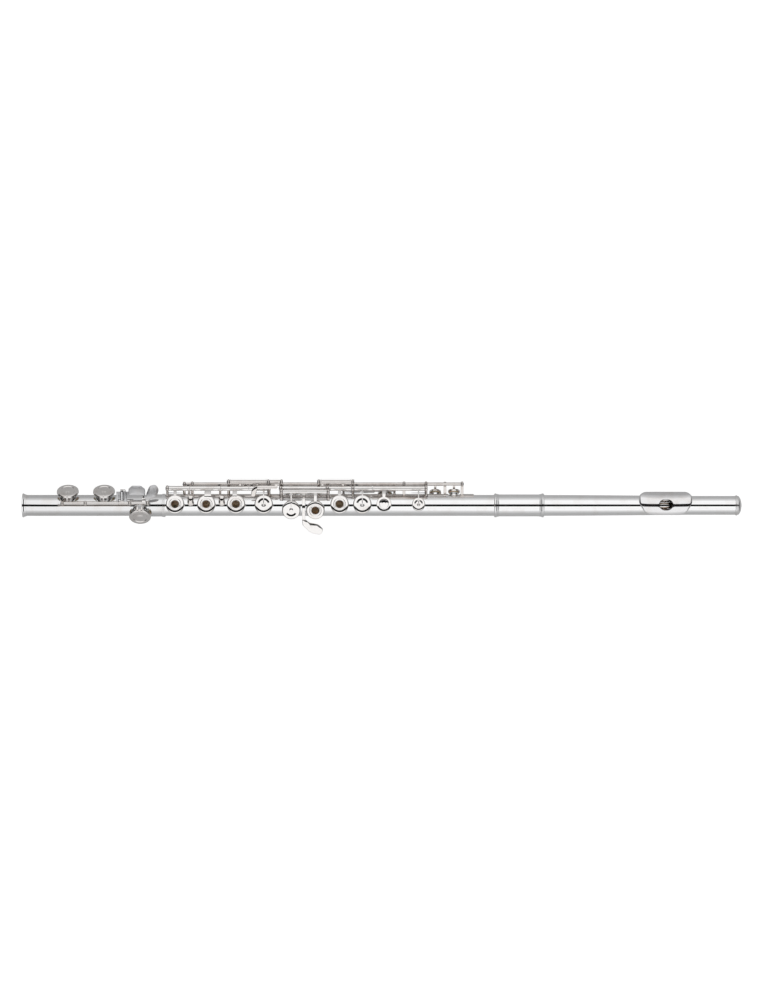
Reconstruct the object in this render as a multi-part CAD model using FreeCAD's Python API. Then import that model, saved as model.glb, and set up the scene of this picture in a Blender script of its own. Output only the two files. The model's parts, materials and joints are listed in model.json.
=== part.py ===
import FreeCAD, Part
import math
import os

V = FreeCAD.Vector
AXIS_X = V(1, 0, 0)
UP = V(0, 0, 1)

# ---------------------------------------------------------------- driving dimensions (mm)
# The flute lies along X. X = 0 is the open foot end, +X runs to the crown, +Z is up (keys up)
# and +Y is the player's side. Angles on the tube are measured from +Z towards +Y.
TUBE_R = 9.9            # outside of the body and foot tube
BORE_R = 9.5            # inside of the body and foot tube
WALL = TUBE_R - BORE_R
SLIDE_GAP = 0.05        # radial play of the sliding tenons
RUN_GAP = 0.05          # radial play of a hinge tube on its steel
FOOT_SOCKET_X = 121.0   # where the foot tube widens to take the body
FOOT_END_X = 135.0
BODY_START_X = 121.3
BARREL_X = (445.8, 493.0)
BODY_END_X = 449.0
BARREL_R = 10.35
RING_R = 11.35
HEAD_START_X = 449.3
TAPER_END_X = 625.0
HEAD_R = 9.8            # head tube outside where the taper begins
HEAD_END_R = 8.9        # head tube outside at the crown end
CROWN_X = 673.7
CROWN_END_X = 679.7
RIB_TOP = 10.8          # outside radius of the strap ribs
SEAT_Z = 12.1           # height of the tone-hole rims above the tube axis
PAD_GAP = 0.1           # clearance between a closed pad and its seat
PAD_TOP = 14.05
CUP_RIM_Z = 12.75       # lower edge of a cup
CUP_TOP_Z = 15.1
CUP_SHEET = 0.6
CHIMNEY_WALL = 0.35
OPEN_ANGLE = 8.5        # rest opening of the sprung-open keys, degrees
THUMB_ANGLE = 12.0
FINGER_HOLE_R = 3.7
STEEL_R = 1.05
HINGE_BORE_R = STEEL_R + RUN_GAP
HINGE_R = 2.3
TRILL_R = 1.55
BRIDGE_R = 2.15
G_TUBE_R = 2.1
FOOT_TUBE_R = 1.6
FOOT_STEEL_R = 0.95
POST_WIDTH = 2.6
POST_GAP = 0.15         # end play between a hinge tube and its post

# rod lines, (Y, Z)
MAIN = (16.1, 8.0)
TRILL_SHARP = (20.2, 4.5)
TRILL_PLAIN = (20.0, -0.5)
BRIDGE = (22.0, 9.0)
G_LINE = (12.8, 12.8)
THUMB = (14.7, -4.8)
FOOT_LINE = (2.2, 13.5)

# cups and their tone holes: centre X, angle round the tube, cup radius, hole radius
FOOT_C = (43.3, 64.0, 10.3, 8.0)
FOOT_C_SHARP = (77.5, 64.0, 10.3, 8.0)
FOOT_D_SHARP = (111.5, -50.0, 10.3, 8.0)
CUP_D = (144.9, 0.0, 8.7, 7.2)
CUP_E = (174.3, 0.0, 8.7, 7.2)
CUP_F = (202.3, 0.0, 8.7, 7.2)
CUP_F_SHARP = (228.4, 0.0, 8.7, 7.2)
CUP_LOW_G = (254.35, -20.0, 8.7, 7.1)
CUP_G = (277.1, -20.0, 8.7, 7.1)
CUP_G_SHARP = (254.0, 110.0, 8.0, 6.6)
CUP_A = (299.9, 0.0, 8.7, 6.9)
CUP_B_FLAT = (321.3, 0.0, 8.7, 6.7)
CUP_THUMB = (342.7, 145.0, 7.5, 6.2)
CUP_C_SHARP = (374.3, 0.0, 6.25, 3.9)
CUP_TRILL_D = (390.2, 116.0, 5.6, 4.0)
CUP_TRILL_SHARP = (407.9, 104.0, 5.6, 4.0)
FOOT_CUPS = (FOOT_C, FOOT_C_SHARP, FOOT_D_SHARP)
BODY_CUPS = (CUP_D, CUP_E, CUP_F, CUP_F_SHARP, CUP_LOW_G, CUP_G, CUP_G_SHARP, CUP_A, CUP_B_FLAT,
             CUP_THUMB, CUP_C_SHARP, CUP_TRILL_D, CUP_TRILL_SHARP)

# embouchure
LIP_X = (582.4, 632.6)
LIP_Y = (-9.4, 12.6)
LIP_TOP_R = 13.4
LIP_END_R = 10.4
LIP_SHEET = 1.0
MOUTH_X = 607.7
MOUTH_Y = 0.6
MOUTH_HALF_X = 6.3
MOUTH_HALF_Y = 5.4
STOPPER_X = MOUTH_X + 17.3

parts = {}


# ---------------------------------------------------------------- small shape helpers
def rod(x0, x1, radius, line=(0.0, 0.0)):
    """A round bar along X on the given (Y, Z) line."""
    return Part.makeCylinder(radius, x1 - x0, V(x0, line[0], line[1]), AXIS_X)


def fused(shapes):
    """One solid from several that meet."""
    shapes = list(shapes)
    whole = shapes[0].multiFuse(shapes[1:]) if len(shapes) > 1 else shapes[0]
    return whole.removeSplitter()


def outline(start, steps, place):
    """A closed wire. A step is an end point, or a pair of middle and end points for an arc."""
    edges = []
    here = start
    for step in steps:
        if isinstance(step[0], tuple):
            middle, end = step
            edges.append(Part.Arc(place(here), place(middle), place(end)).toShape())
        else:
            end = step
            edges.append(Part.LineSegment(place(here), place(end)).toShape())
        here = end
    return Part.Wire(edges)


def turned(start, steps):
    """A solid of revolution about the tube axis, from (x, radius) points."""
    wire = outline(start, steps, lambda p: V(p[0], 0, p[1]))
    return Part.Face(wire).revolve(V(0, 0, 0), AXIS_X, 360)


def turned_up(x, start, steps):
    """A solid of revolution about the upright line at x, from (radius, z) points."""
    wire = outline(start, steps, lambda p: V(x + p[0], 0, p[1]))
    return Part.Face(wire).revolve(V(x, 0, 0), UP, 360)


def round_tube(shape, angle):
    """Carry a shape that was made on top of the tube round to an angle."""
    turned_shape = shape.copy()
    turned_shape.rotate(V(0, 0, 0), AXIS_X, -angle)
    return turned_shape


def swing(shape, line, degrees):
    """Turn a shape about a rod line by the right-hand rule about +X."""
    moved = shape.copy()
    moved.rotate(V(0, line[0], line[1]), AXIS_X, degrees)
    return moved


def seen_from(line, angle):
    """A rod line's (y, z) in the frame where the given angle is on top."""
    a = math.radians(angle)
    y, z = line
    return (y * math.cos(a) - z * math.sin(a), y * math.sin(a) + z * math.cos(a))


def at_angle(radius, angle):
    """(Y, Z) of a point at a radius and an angle from the top towards the player."""
    a = math.radians(angle)
    return (radius * math.sin(a), radius * math.cos(a))


def band(x0, x1, path, thickness):
    """A smooth strip of even thickness that follows (y, z) points, as wide as x0 to x1."""
    left = []
    right = []
    count = len(path)
    for i, (y, z) in enumerate(path):
        y0, z0 = path[max(i - 1, 0)]
        y1, z1 = path[min(i + 1, count - 1)]
        length = math.hypot(y1 - y0, z1 - z0)
        ny = -(z1 - z0) / length * thickness / 2
        nz = (y1 - y0) / length * thickness / 2
        left.append(V(x0, y + ny, z + nz))
        right.append(V(x0, y - ny, z - nz))
    edges = []
    for side in (left, right):
        if count == 2:
            edges.append(Part.LineSegment(side[0], side[1]).toShape())
        else:
            curve = Part.BSplineCurve()
            curve.interpolate(side)
            edges.append(curve.toShape())
    first = Part.LineSegment(left[0], right[0]).toShape()
    last = Part.LineSegment(left[-1], right[-1]).toShape()
    wire = Part.Wire(Part.__sortEdges__([edges[0], last, edges[1], first]))
    return Part.Face(wire).extrude(V(x1 - x0, 0, 0))


def plate(start, steps, z0, z1):
    """A flat plate from a plan outline of (x, y) points."""
    wire = outline(start, steps, lambda p: V(p[0], p[1], z0))
    return Part.Face(wire).extrude(V(0, 0, z1 - z0))


def softened(shape, radius, z_level):
    """Round the edges that lie at one height."""
    edges = [e for e in shape.Edges if all(abs(v.Point.z - z_level) < 1e-4 for v in e.Vertexes)]
    return shape.makeFillet(radius, edges)


def sector(x0, x1, inner, outer, angle0, angle1):
    """Part of a ring round the tube, between two angles."""
    places = [at_angle(r, a) for r, a in ((inner, angle0), (outer, angle0), (outer, (angle0 + angle1) / 2),
                                         (outer, angle1), (inner, angle1), (inner, (angle0 + angle1) / 2))]
    wire = outline(places[0], [places[1], (places[2], places[3]), places[4], (places[5], places[0])],
                   lambda p: V(x0, p[0], p[1]))
    return Part.Face(wire).extrude(V(x1 - x0, 0, 0))


# ---------------------------------------------------------------- tubes
def with_tone_holes(tube, cups):
    """Add the drawn chimneys with rolled rims, then open the bore and the holes."""
    rim = 0.35
    for x, angle, _, hole in cups:
        outer = hole + CHIMNEY_WALL
        wall = Part.makeCylinder(outer, SEAT_Z - 4.0, V(x, 0, 4.0))
        roll = Part.makeTorus(outer, rim, V(x, 0, SEAT_Z - rim))
        tube = tube.fuse(round_tube(wall.fuse(roll), angle))
    return tube


def holes_cut(tube, cups):
    for x, angle, _, hole in cups:
        tube = tube.cut(round_tube(Part.makeCylinder(hole, 10.0, V(x, 0, 5.0)), angle))
    return tube


def make_body_tube():
    tube = with_tone_holes(rod(BODY_START_X, BODY_END_X, TUBE_R), BODY_CUPS)
    tube = tube.cut(rod(BODY_START_X - 1, BODY_END_X + 1, BORE_R))
    parts["body_tube"] = holes_cut(tube, BODY_CUPS)


def make_foot_tube():
    socket_r = TUBE_R + SLIDE_GAP
    outside = rod(0.0, FOOT_SOCKET_X, TUBE_R).fuse(rod(FOOT_SOCKET_X - 0.6, FOOT_END_X, 10.5))
    tube = with_tone_holes(outside, FOOT_CUPS)
    tube = tube.cut(rod(-1.0, FOOT_SOCKET_X + 1, BORE_R))
    tube = tube.cut(rod(FOOT_SOCKET_X, FOOT_END_X + 1, socket_r))
    parts["foot_tube"] = holes_cut(tube, FOOT_CUPS)
    end_ring = turned((0.0, TUBE_R), [(0.0, 11.0), ((0.15, 11.25), (0.5, RING_R)), (1.0, RING_R),
                                      ((2.2, 10.9), (3.8, TUBE_R)), (0.0, TUBE_R)])
    socket_ring = turned((132.3, 10.5), [((132.7, 10.85), (133.2, 11.1)), (134.6, 11.1),
                                         ((134.9, 11.0), (135.0, 10.7)), (135.0, 10.5), (132.3, 10.5)])
    parts["foot_rings"] = Part.makeCompound([end_ring, socket_ring])


def make_barrel():
    x0, x1 = BARREL_X
    barrel = rod(x0, x1, BARREL_R)
    barrel = barrel.cut(rod(x0 - 1, BODY_END_X + 0.1, TUBE_R + 0.02))
    barrel = barrel.cut(rod(BODY_END_X, x1 + 1, TUBE_R + SLIDE_GAP))
    parts["barrel"] = barrel
    rings = []
    for start, sign in ((x0, 1), (x1, -1)):
        rings.append(turned((start, BARREL_R), [
            (start, 10.9), ((start + sign * 0.2, RING_R - 0.1), (start + sign * 0.8, RING_R)),
            (start + sign * 2.0, RING_R), ((start + sign * 2.6, RING_R - 0.15), (start + sign * 2.8, 10.85)),
            ((start + sign * 3.5, 11.1), (start + sign * 4.2, 10.7)), (start + sign * 4.4, BARREL_R),
            (start, BARREL_R)]))
    parts["barrel_rings"] = Part.makeCompound(rings)


def head_radius(x):
    """Outside radius of the head tube."""
    if x >= TAPER_END_X:
        return HEAD_END_R
    t = (x - BARREL_X[1]) / (TAPER_END_X - BARREL_X[1])
    return HEAD_R - (HEAD_R - HEAD_END_R) * t * t * (1.6 - 0.6 * t)


def mouth_hole(grow, z0, z1):
    """The oval of the embouchure hole as a solid, grown by a margin."""
    oval = Part.Ellipse(V(MOUTH_X, MOUTH_Y, z0), MOUTH_HALF_X + grow, MOUTH_HALF_Y + grow)
    return Part.Face(Part.Wire(oval.toShape())).extrude(V(0, 0, z1 - z0))


def make_head():
    x_mid = (BARREL_X[1] + TAPER_END_X) / 2
    end = CROWN_X - 0.2
    outer = [(HEAD_START_X, TUBE_R), (BARREL_X[1], TUBE_R), (BARREL_X[1], HEAD_R),
             ((x_mid, head_radius(x_mid)), (TAPER_END_X, HEAD_END_R)), (end, HEAD_END_R),
             (end, HEAD_END_R - WALL), (TAPER_END_X, HEAD_END_R - WALL),
             ((x_mid, head_radius(x_mid) - WALL), (BARREL_X[1], HEAD_R - WALL - 0.02)),
             (BARREL_X[1] - 0.5, BORE_R), (HEAD_START_X, BORE_R)]
    tube = turned((HEAD_START_X, BORE_R), outer)
    parts["head_tube"] = tube.cut(mouth_hole(0.0, 5.0, 12.0))

    under_r = LIP_TOP_R - LIP_SHEET
    x0, x1 = LIP_X
    over = turned((x0 - 1, 0.0), [(x0 - 1, LIP_END_R), ((MOUTH_X, LIP_TOP_R), (x1 + 1, LIP_END_R)),
                                  (x1 + 1, 0.0), (x0 - 1, 0.0)])
    under = turned((x0 - 1, 0.0), [(x0 - 1, LIP_END_R - LIP_SHEET), ((MOUTH_X, under_r),
                                   (x1 + 1, LIP_END_R - LIP_SHEET)), (x1 + 1, 0.0), (x0 - 1, 0.0)])
    y0, y1 = LIP_Y
    plan = plate((x0 + 5.0, y1), [(x1 - 5.0, y1), ((x1 - 1.4, y1 - 1.5), (x1, y1 - 5.0)),
                                  ((x1 - 1.2, y0 + 9.0), (x1 - 9.0, y0)), (x0 + 9.6, y0),
                                  ((x0 + 1.2, y0 + 9.0), (x0, y1 - 5.0)),
                                  ((x0 + 1.4, y1 - 1.5), (x0 + 5.0, y1))], -1.0, 20.0)
    clear_tube = rod(x0 - 2, x1 + 2, head_radius(x0) + 0.02)
    lip = over.cut(under).common(plan).cut(clear_tube)
    parts["lip_plate"] = lip.cut(mouth_hole(0.0, 5.0, 20.0))
    riser = mouth_hole(2.2, 4.0, 20.0).cut(mouth_hole(0.0, 3.0, 21.0)).common(under)
    riser_start = MOUTH_X - MOUTH_HALF_X - 2.2
    parts["embouchure_riser"] = riser.cut(rod(x0, x1, head_radius(riser_start) + 0.01))


def make_crown_and_stopper():
    bore = HEAD_END_R - WALL
    crown = turned((CROWN_X, 0.0), [(CROWN_X, 9.3), ((CROWN_X + 0.1, 9.5), (CROWN_X + 0.4, 9.6)),
                                    (CROWN_X + 2.0, 9.6), ((CROWN_X + 2.3, 9.5), (CROWN_X + 2.4, 9.2)),
                                    ((CROWN_X + 4.6, 7.2), (CROWN_END_X - 0.2, 3.2)),
                                    (CROWN_END_X, 0.0), (CROWN_X, 0.0)])
    neck = rod(CROWN_X - 5.7, CROWN_X + 0.1, bore - 0.05)
    socket = rod(CROWN_X - 6.7, CROWN_X + 1.5, 1.6)
    parts["crown"] = crown.fuse(neck).cut(socket)
    cork_end = STOPPER_X + 13.0
    parts["stopper_cork"] = rod(STOPPER_X + 0.8, cork_end, bore - 0.04)
    plates = [rod(STOPPER_X, STOPPER_X + 0.8, bore - 0.3), rod(cork_end, cork_end + 0.8, bore - 0.3)]
    screw = rod(cork_end + 0.7, CROWN_X - 3.0, 1.5)
    parts["stopper_screw"] = Part.makeCompound([plates[0], plates[1].fuse(screw)])


# ---------------------------------------------------------------- keys
def closed_cup(spec):
    """A plain cup with a stepped top and a small raised centre, on top of the tube."""
    x, _, r, _ = spec
    top = CUP_TOP_Z
    step = r * 0.62
    centre = r * 0.22
    roof = PAD_TOP + 0.05
    return turned_up(x, (r, CUP_RIM_Z), [
        (r, top - 0.9), ((r - 0.26, top - 0.26), (r - 0.9, top)), (step + 0.5, top),
        ((step + 0.15, top - 0.1), (step, top - 0.35)), (centre + 0.6, top - 0.35),
        ((centre + 0.2, top - 0.25), (centre, top)), (0.0, top), (0.0, roof),
        (r - CUP_SHEET, roof), (r - CUP_SHEET, CUP_RIM_Z), (r, CUP_RIM_Z)])


def ring_cup(spec):
    """An open cup: the finger hole runs through it and the pad sits round a short tube."""
    x, _, r, _ = spec
    top = CUP_TOP_Z
    step = 5.9
    lip = FINGER_HOLE_R + 0.45
    roof = PAD_TOP + 0.05
    return turned_up(x, (r, CUP_RIM_Z), [
        (r, top - 0.9), ((r - 0.26, top - 0.26), (r - 0.9, top)), (step + 0.6, top),
        ((step + 0.2, top - 0.1), (step, top - 0.4)), (lip + 0.3, top - 0.4),
        ((lip, top - 0.3), (lip - 0.15, top - 0.15)), ((FINGER_HOLE_R + 0.1, top - 0.1),
                                                       (FINGER_HOLE_R, top - 0.3)),
        (FINGER_HOLE_R, 12.6), (lip, 12.6), (lip, roof),
        (r - CUP_SHEET, roof), (r - CUP_SHEET, CUP_RIM_Z), (r, CUP_RIM_Z)])


def pad_disc(spec, inner=0.0):
    """A pad under a cup, a plain disc or a ring."""
    x, _, r, _ = spec
    low = SEAT_Z + PAD_GAP
    edge = r - CUP_SHEET - 0.05
    if inner:
        return turned_up(x, (inner, low), [(edge - 0.5, low), ((edge - 0.15, low + 0.15), (edge, low + 0.5)),
                                           (edge, PAD_TOP), (inner, PAD_TOP), (inner, low)])
    return turned_up(x, (0.0, low), [(edge - 0.5, low), ((edge - 0.15, low + 0.15), (edge, low + 0.5)),
                                     (edge, PAD_TOP), (0.0, PAD_TOP), (0.0, low)])


def pointed_arm(spec, line, width=3.0, reach=0.0):
    """An arm that climbs from the hinge tube and tapers over the cup to its centre."""
    x, angle, r, _ = spec
    y, z = seen_from(line, angle)
    side = 1 if y > 0 else -1
    path = [(y - side * 0.7, z + 1.0), ((y + side * r) / 2 + side * 0.3, (z + 15.6) / 2 + 0.9),
            (side * (r - 0.2), 15.15), (side * r * 0.55, 15.5), (side * reach, 15.3)]
    strip = band(x - width, x + width, path, 1.1)
    y_far = y + side * 3.0
    tip = side * (reach - 0.2)
    plan = plate((x - width / 2, y_far), [(x + width / 2, y_far), (x + width / 2, side * r),
                                          (x + 0.35, tip), (x - 0.35, tip), (x - width / 2, side * r),
                                          (x - width / 2, y_far)], -5.0, 25.0)
    return strip.common(plan)


def side_arm(spec, line, width=3.0, shift=0.0):
    """An arm from the hinge tube to the rim of an open cup."""
    x, angle, r, _ = spec
    y, z = seen_from(line, angle)
    side = 1 if y > 0 else -1
    end = side * (math.sqrt(r * r - (abs(shift) + width / 2) ** 2) - 0.35)
    path = [(y - side * 0.7, z + 1.0), ((y + side * r) / 2 + side * 0.4, (z + 14.4) / 2 + 1.0),
            (side * (r + 0.3), 14.5), (end, 14.65)]
    return band(x + shift - width / 2, x + shift + width / 2, path, 1.0)


def cup_on(spec, line, kind, **options):
    """A cup with its arm, closed on its tone hole."""
    cup = ring_cup(spec) if kind == "ring" else closed_cup(spec)
    arm = side_arm(spec, line, **options) if kind == "ring" else pointed_arm(spec, line, **options)
    return round_tube(cup.fuse(arm), spec[1])


def hinge(x0, x1, line, outer=HINGE_R):
    """A hinge tube, still solid: the bore is cut once the key is whole."""
    return rod(x0, x1, outer, line)


def key(name, line, shapes, pads, open_by=0.0, bore=HINGE_BORE_R):
    """Join a key, bore its hinge and set it at rest with its pads."""
    whole = fused(shapes)
    if bore:
        whole = whole.cut(rod(0.0, CROWN_X, bore, line))
    parts[name + "_key"] = swing(whole, line, open_by)
    if pads:
        parts[name + "_pad"] = swing(Part.makeCompound(pads) if len(pads) > 1 else pads[0], line, open_by)


def pad_of(spec, kind="closed"):
    return round_tube(pad_disc(spec, FINGER_HOLE_R + 0.5 if kind == "ring" else 0.0), spec[1])


# hinge tube ends on the main line, each between two posts or two neighbours
POST_HALF = POST_WIDTH / 2
MAIN_POSTS = (137.2, 233.4, 288.2, 312.4, 381.5)
D_HINGE = (MAIN_POSTS[0] + POST_HALF + POST_GAP, 158.3)
E_HINGE = (158.6, 187.6)
F_HINGE = (187.9, 214.1)
F_SHARP_HINGE = (214.4, MAIN_POSTS[1] - POST_HALF - POST_GAP)
G_SHARP_POST = 244.2
G_SHARP_HINGE = (G_SHARP_POST + POST_HALF + POST_GAP, MAIN_POSTS[2] - POST_HALF - POST_GAP)
A_HINGE = (MAIN_POSTS[2] + POST_HALF + POST_GAP, MAIN_POSTS[3] - POST_HALF - POST_GAP)
B_FLAT_HINGE = (MAIN_POSTS[3] + POST_HALF + POST_GAP, 330.6)
INDEX_HINGE = (331.0, MAIN_POSTS[4] - POST_HALF - POST_GAP)
G_POSTS = (244.9, 289.2)
G_HINGE = (G_POSTS[0] + POST_HALF + POST_GAP, G_POSTS[1] - POST_HALF - POST_GAP)
TRILL_SHARP_POSTS = (160.6, 415.5)
TRILL_PLAIN_POSTS = (152.9, 399.4)
TRILL_GUIDES = (360.6, 381.4)
RH_BRIDGE_POSTS = (195.0, 232.6)
LH_BRIDGE_POSTS = (280.2, 312.4)
LEVER_POSTS = (RH_BRIDGE_POSTS[1], 245.0)
THUMB_POSTS = (303.4, 351.6)


def clutch_lug(x, line, toward, reach, width=2.4, thickness=1.2):
    """A small plate that stands off a hinge tube towards another line."""
    y0, z0 = line
    dy, dz = toward[0] - y0, toward[1] - z0
    length = math.hypot(dy, dz)
    end = (y0 + dy / length * reach, z0 + dz / length * reach)
    return band(x - width / 2, x + width / 2, [line, end], thickness)


def make_main_stack():
    key("d", MAIN, [hinge(*D_HINGE, MAIN), cup_on(CUP_D, MAIN, "ring"),
                    clutch_lug(156.8, MAIN, BRIDGE, 3.4)], [pad_of(CUP_D, "ring")], -OPEN_ANGLE)
    key("e", MAIN, [hinge(*E_HINGE, MAIN), cup_on(CUP_E, MAIN, "ring", width=6.4, shift=1.4),
                    clutch_lug(186.0, MAIN, BRIDGE, 3.4)], [pad_of(CUP_E, "ring")], -OPEN_ANGLE)
    key("f", MAIN, [hinge(*F_HINGE, MAIN), cup_on(CUP_F, MAIN, "ring", width=4.4, shift=-1.2),
                    clutch_lug(211.0, MAIN, BRIDGE, 3.5)], [pad_of(CUP_F, "ring")], -OPEN_ANGLE)
    key("f_sharp", MAIN, [hinge(*F_SHARP_HINGE, MAIN), cup_on(CUP_F_SHARP, MAIN, "closed"),
                          clutch_lug(217.0, MAIN, BRIDGE, 3.5)], [pad_of(CUP_F_SHARP)], -OPEN_ANGLE)
    key("a", MAIN, [hinge(*A_HINGE, MAIN), cup_on(CUP_A, MAIN, "ring"),
                    clutch_lug(308.0, MAIN, BRIDGE, 3.5)], [pad_of(CUP_A, "ring")], -OPEN_ANGLE)
    key("b_flat", MAIN, [hinge(*B_FLAT_HINGE, MAIN), cup_on(CUP_B_FLAT, MAIN, "closed"),
                         clutch_lug(316.0, MAIN, BRIDGE, 3.4)], [pad_of(CUP_B_FLAT)], -OPEN_ANGLE)

    # index key: a dished touch on its own arm, and the small cup at the far end of its tube
    x = 341.7
    dish = turned_up(x, (0.0, 13.7), [(2.0, 13.7), ((4.7, 14.1), (6.6, 15.0)), ((7.1, 15.5), (6.6, 15.9)),
                                      ((3.8, 14.95), (1.0, 14.6)), (0.0, 14.6), (0.0, 13.7)])
    path = [(MAIN[0] - 0.7, MAIN[1] + 1.0), (12.6, 12.3), (9.4, 14.3), (6.3, 15.05)]
    arm = band(x - 1.7, x + 1.7, path, 1.0)
    small = cup_on(CUP_C_SHARP, MAIN, "closed", width=2.4)
    key("index", MAIN, [hinge(*INDEX_HINGE, MAIN), dish, arm, small], [pad_of(CUP_C_SHARP)], -OPEN_ANGLE)


def make_bridges():
    for name, posts, lugs in (("rh_bridge", RH_BRIDGE_POSTS, (206.0, 222.5)),
                              ("lh_bridge", LH_BRIDGE_POSTS, (283.6, 303.0))):
        tube = hinge(posts[0] + POST_HALF + POST_GAP, posts[1] - POST_HALF - POST_GAP, BRIDGE, BRIDGE_R)
        plates = [clutch_lug(x, BRIDGE, MAIN, 3.3) for x in lugs]
        whole = fused([tube] + plates)
        parts[name] = whole.cut(rod(0.0, CROWN_X, HINGE_BORE_R, BRIDGE))


def make_g_keys():
    low = cup_on(CUP_LOW_G, G_LINE, "closed")
    high = cup_on(CUP_G, G_LINE, "ring")
    key("g", G_LINE, [hinge(*G_HINGE, G_LINE, G_TUBE_R), low, high],
        [pad_of(CUP_LOW_G), pad_of(CUP_G, "ring")], -OPEN_ANGLE)

    # G sharp: the lever passes under the G hinge tube and between the two G cups
    x = 266.0
    lever_path = [(MAIN[0] - 1.2, MAIN[1] + 0.6), at_angle(14.1, 56.0), at_angle(13.3, 42.0),
                  at_angle(13.7, 22.0), at_angle(14.2, 0.0), at_angle(14.6, -18.0), (-8.6, 12.9),
                  (-12.6, 11.6), (-15.6, 11.2)]
    lever = band(x - 1.45, x + 1.45, lever_path, 1.3)
    touch = plate((264.5, -13.6), [(268.2, -13.6), ((272.0, -15.6), (276.5, -17.2)),
                                   ((283.2, -20.6), (282.6, -26.2)), (280.6, -27.4),
                                   ((271.0, -25.2), (264.5, -17.2)), (264.5, -13.6)], 10.6, 11.9)
    touch = softened(touch, 0.3, 11.9)
    cup = round_tube(closed_cup(CUP_G_SHARP), CUP_G_SHARP[1])
    cup_path = [(MAIN[0] + 0.2, MAIN[1] - 1.2), (16.9, 5.0), at_angle(17.3, 77.5), at_angle(16.6, 82.6)]
    cup_arm = band(252.4, 255.6, cup_path, 1.2)
    key("g_sharp", MAIN, [hinge(*G_SHARP_HINGE, MAIN), lever, touch, cup, cup_arm], [pad_of(CUP_G_SHARP)])


def make_thumb_keys():
    # B key: cup at the back of the tube, touch plate beside it under the thumb
    start = THUMB_POSTS[0] + POST_HALF + POST_GAP
    end = THUMB_POSTS[1] - POST_HALF - POST_GAP
    cup = round_tube(closed_cup(CUP_THUMB), CUP_THUMB[1])
    cup_path = [(THUMB[0] + 0.3, THUMB[1] - 0.9), at_angle(16.6, 118.0), at_angle(15.9, 127.0),
                at_angle(15.6, 136.0), at_angle(15.3, 145.0)]
    cup_arm = band(341.3, 344.1, cup_path, 1.1)
    b_path = [(THUMB[0] + 0.6, THUMB[1] - 1.0), at_angle(17.4, 121.0), at_angle(17.9, 134.0),
              at_angle(18.6, 148.0)]
    b_touch = band(321.6, 333.4, b_path, 1.3)
    key("thumb_b", THUMB, [hinge(320.6, end, THUMB, 1.9), cup, cup_arm, b_touch],
        [pad_of(CUP_THUMB)], THUMB_ANGLE)
    flat_path = [(THUMB[0] + 0.6, THUMB[1] - 1.0), at_angle(17.6, 121.0), at_angle(18.4, 134.0),
                 at_angle(19.4, 147.0)]
    flat_touch = band(308.6, 320.0, flat_path, 1.3)
    key("thumb_b_flat", THUMB, [hinge(start, 320.3, THUMB, 1.9), flat_touch], [], THUMB_ANGLE)


def make_trill_keys():
    for name, line, touch_x, posts, spec in (
            ("trill_d_sharp", TRILL_SHARP, 188.8, TRILL_SHARP_POSTS, CUP_TRILL_SHARP),
            ("trill_d", TRILL_PLAIN, 159.4, TRILL_PLAIN_POSTS, CUP_TRILL_D)):
        tube = hinge(posts[0] + POST_HALF + POST_GAP, posts[1] - POST_HALF - POST_GAP, line, TRILL_R)
        y, z = line
        path = [(y - 0.9, z - 0.1), at_angle(15.6, 80.0), at_angle(13.1, 70.0), at_angle(13.4, 56.0),
                at_angle(13.8, 40.0), at_angle(14.1, 28.0), (4.4, 14.0)]
        arm = band(touch_x - 3.3, touch_x - 0.7, path, 1.2)
        arm = arm.common(rod(touch_x - 2.85, touch_x, 40.0))
        touch = plate((touch_x - 2.85, 2.4), [((touch_x, -0.4), (touch_x + 2.85, 2.4)),
                                              (touch_x + 2.85, 6.4), ((touch_x, 9.2),
                                                                      (touch_x - 2.85, 6.4)),
                                              (touch_x - 2.85, 2.4)], 13.6, 15.0)
        touch = softened(touch, 0.45, 15.0)
        cup = round_tube(closed_cup(spec), spec[1])
        x, angle = spec[0], spec[1]
        turn = angle - 12.0
        cup_path = [(y - 0.4, z - 0.8), at_angle(17.2, turn - 6.0), at_angle(15.75, turn + 2.0),
                    at_angle(15.35, angle)]
        cup_arm = band(x - 1.1, x + 1.1, cup_path, 1.0)
        key(name, line, [tube, arm, touch, cup, cup_arm], [pad_of(spec)], bore=0.0)


def make_side_lever():
    """The B flat side lever lies over the F sharp hinge and pivots on the bridge line."""
    start = LEVER_POSTS[0] + POST_HALF + POST_GAP
    end = LEVER_POSTS[1] - POST_HALF - POST_GAP
    path = [(BRIDGE[0] - 0.6, BRIDGE[1] + 1.2), (19.3, 12.4), (16.6, 13.4), (13.6, 13.6)]
    root = band(236.0, 242.4, path, 1.3)
    bar = plate((221.5, 15.2), [(238.0, 15.2), (238.0, 18.4), (221.5, 18.4), (221.5, 15.2)], 12.9, 14.2)
    touch = plate((216.0, 10.2), [((216.9, 8.3), (219.2, 8.0)), ((221.8, 8.4), (222.4, 10.6)),
                                  (222.4, 18.4), (218.2, 18.4), ((216.6, 17.6), (216.0, 16.0)),
                                  (216.0, 10.2)], 12.9, 14.2)
    touch = softened(touch, 0.4, 14.2)
    whole = fused([hinge(start, end, BRIDGE, BRIDGE_R), root, bar, touch])
    parts["b_flat_lever"] = whole.cut(rod(0.0, CROWN_X, HINGE_BORE_R, BRIDGE))


# ---------------------------------------------------------------- foot keys
FOOT_POSTS = (38.4, 60.2, 102.2, 119.0)


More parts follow.
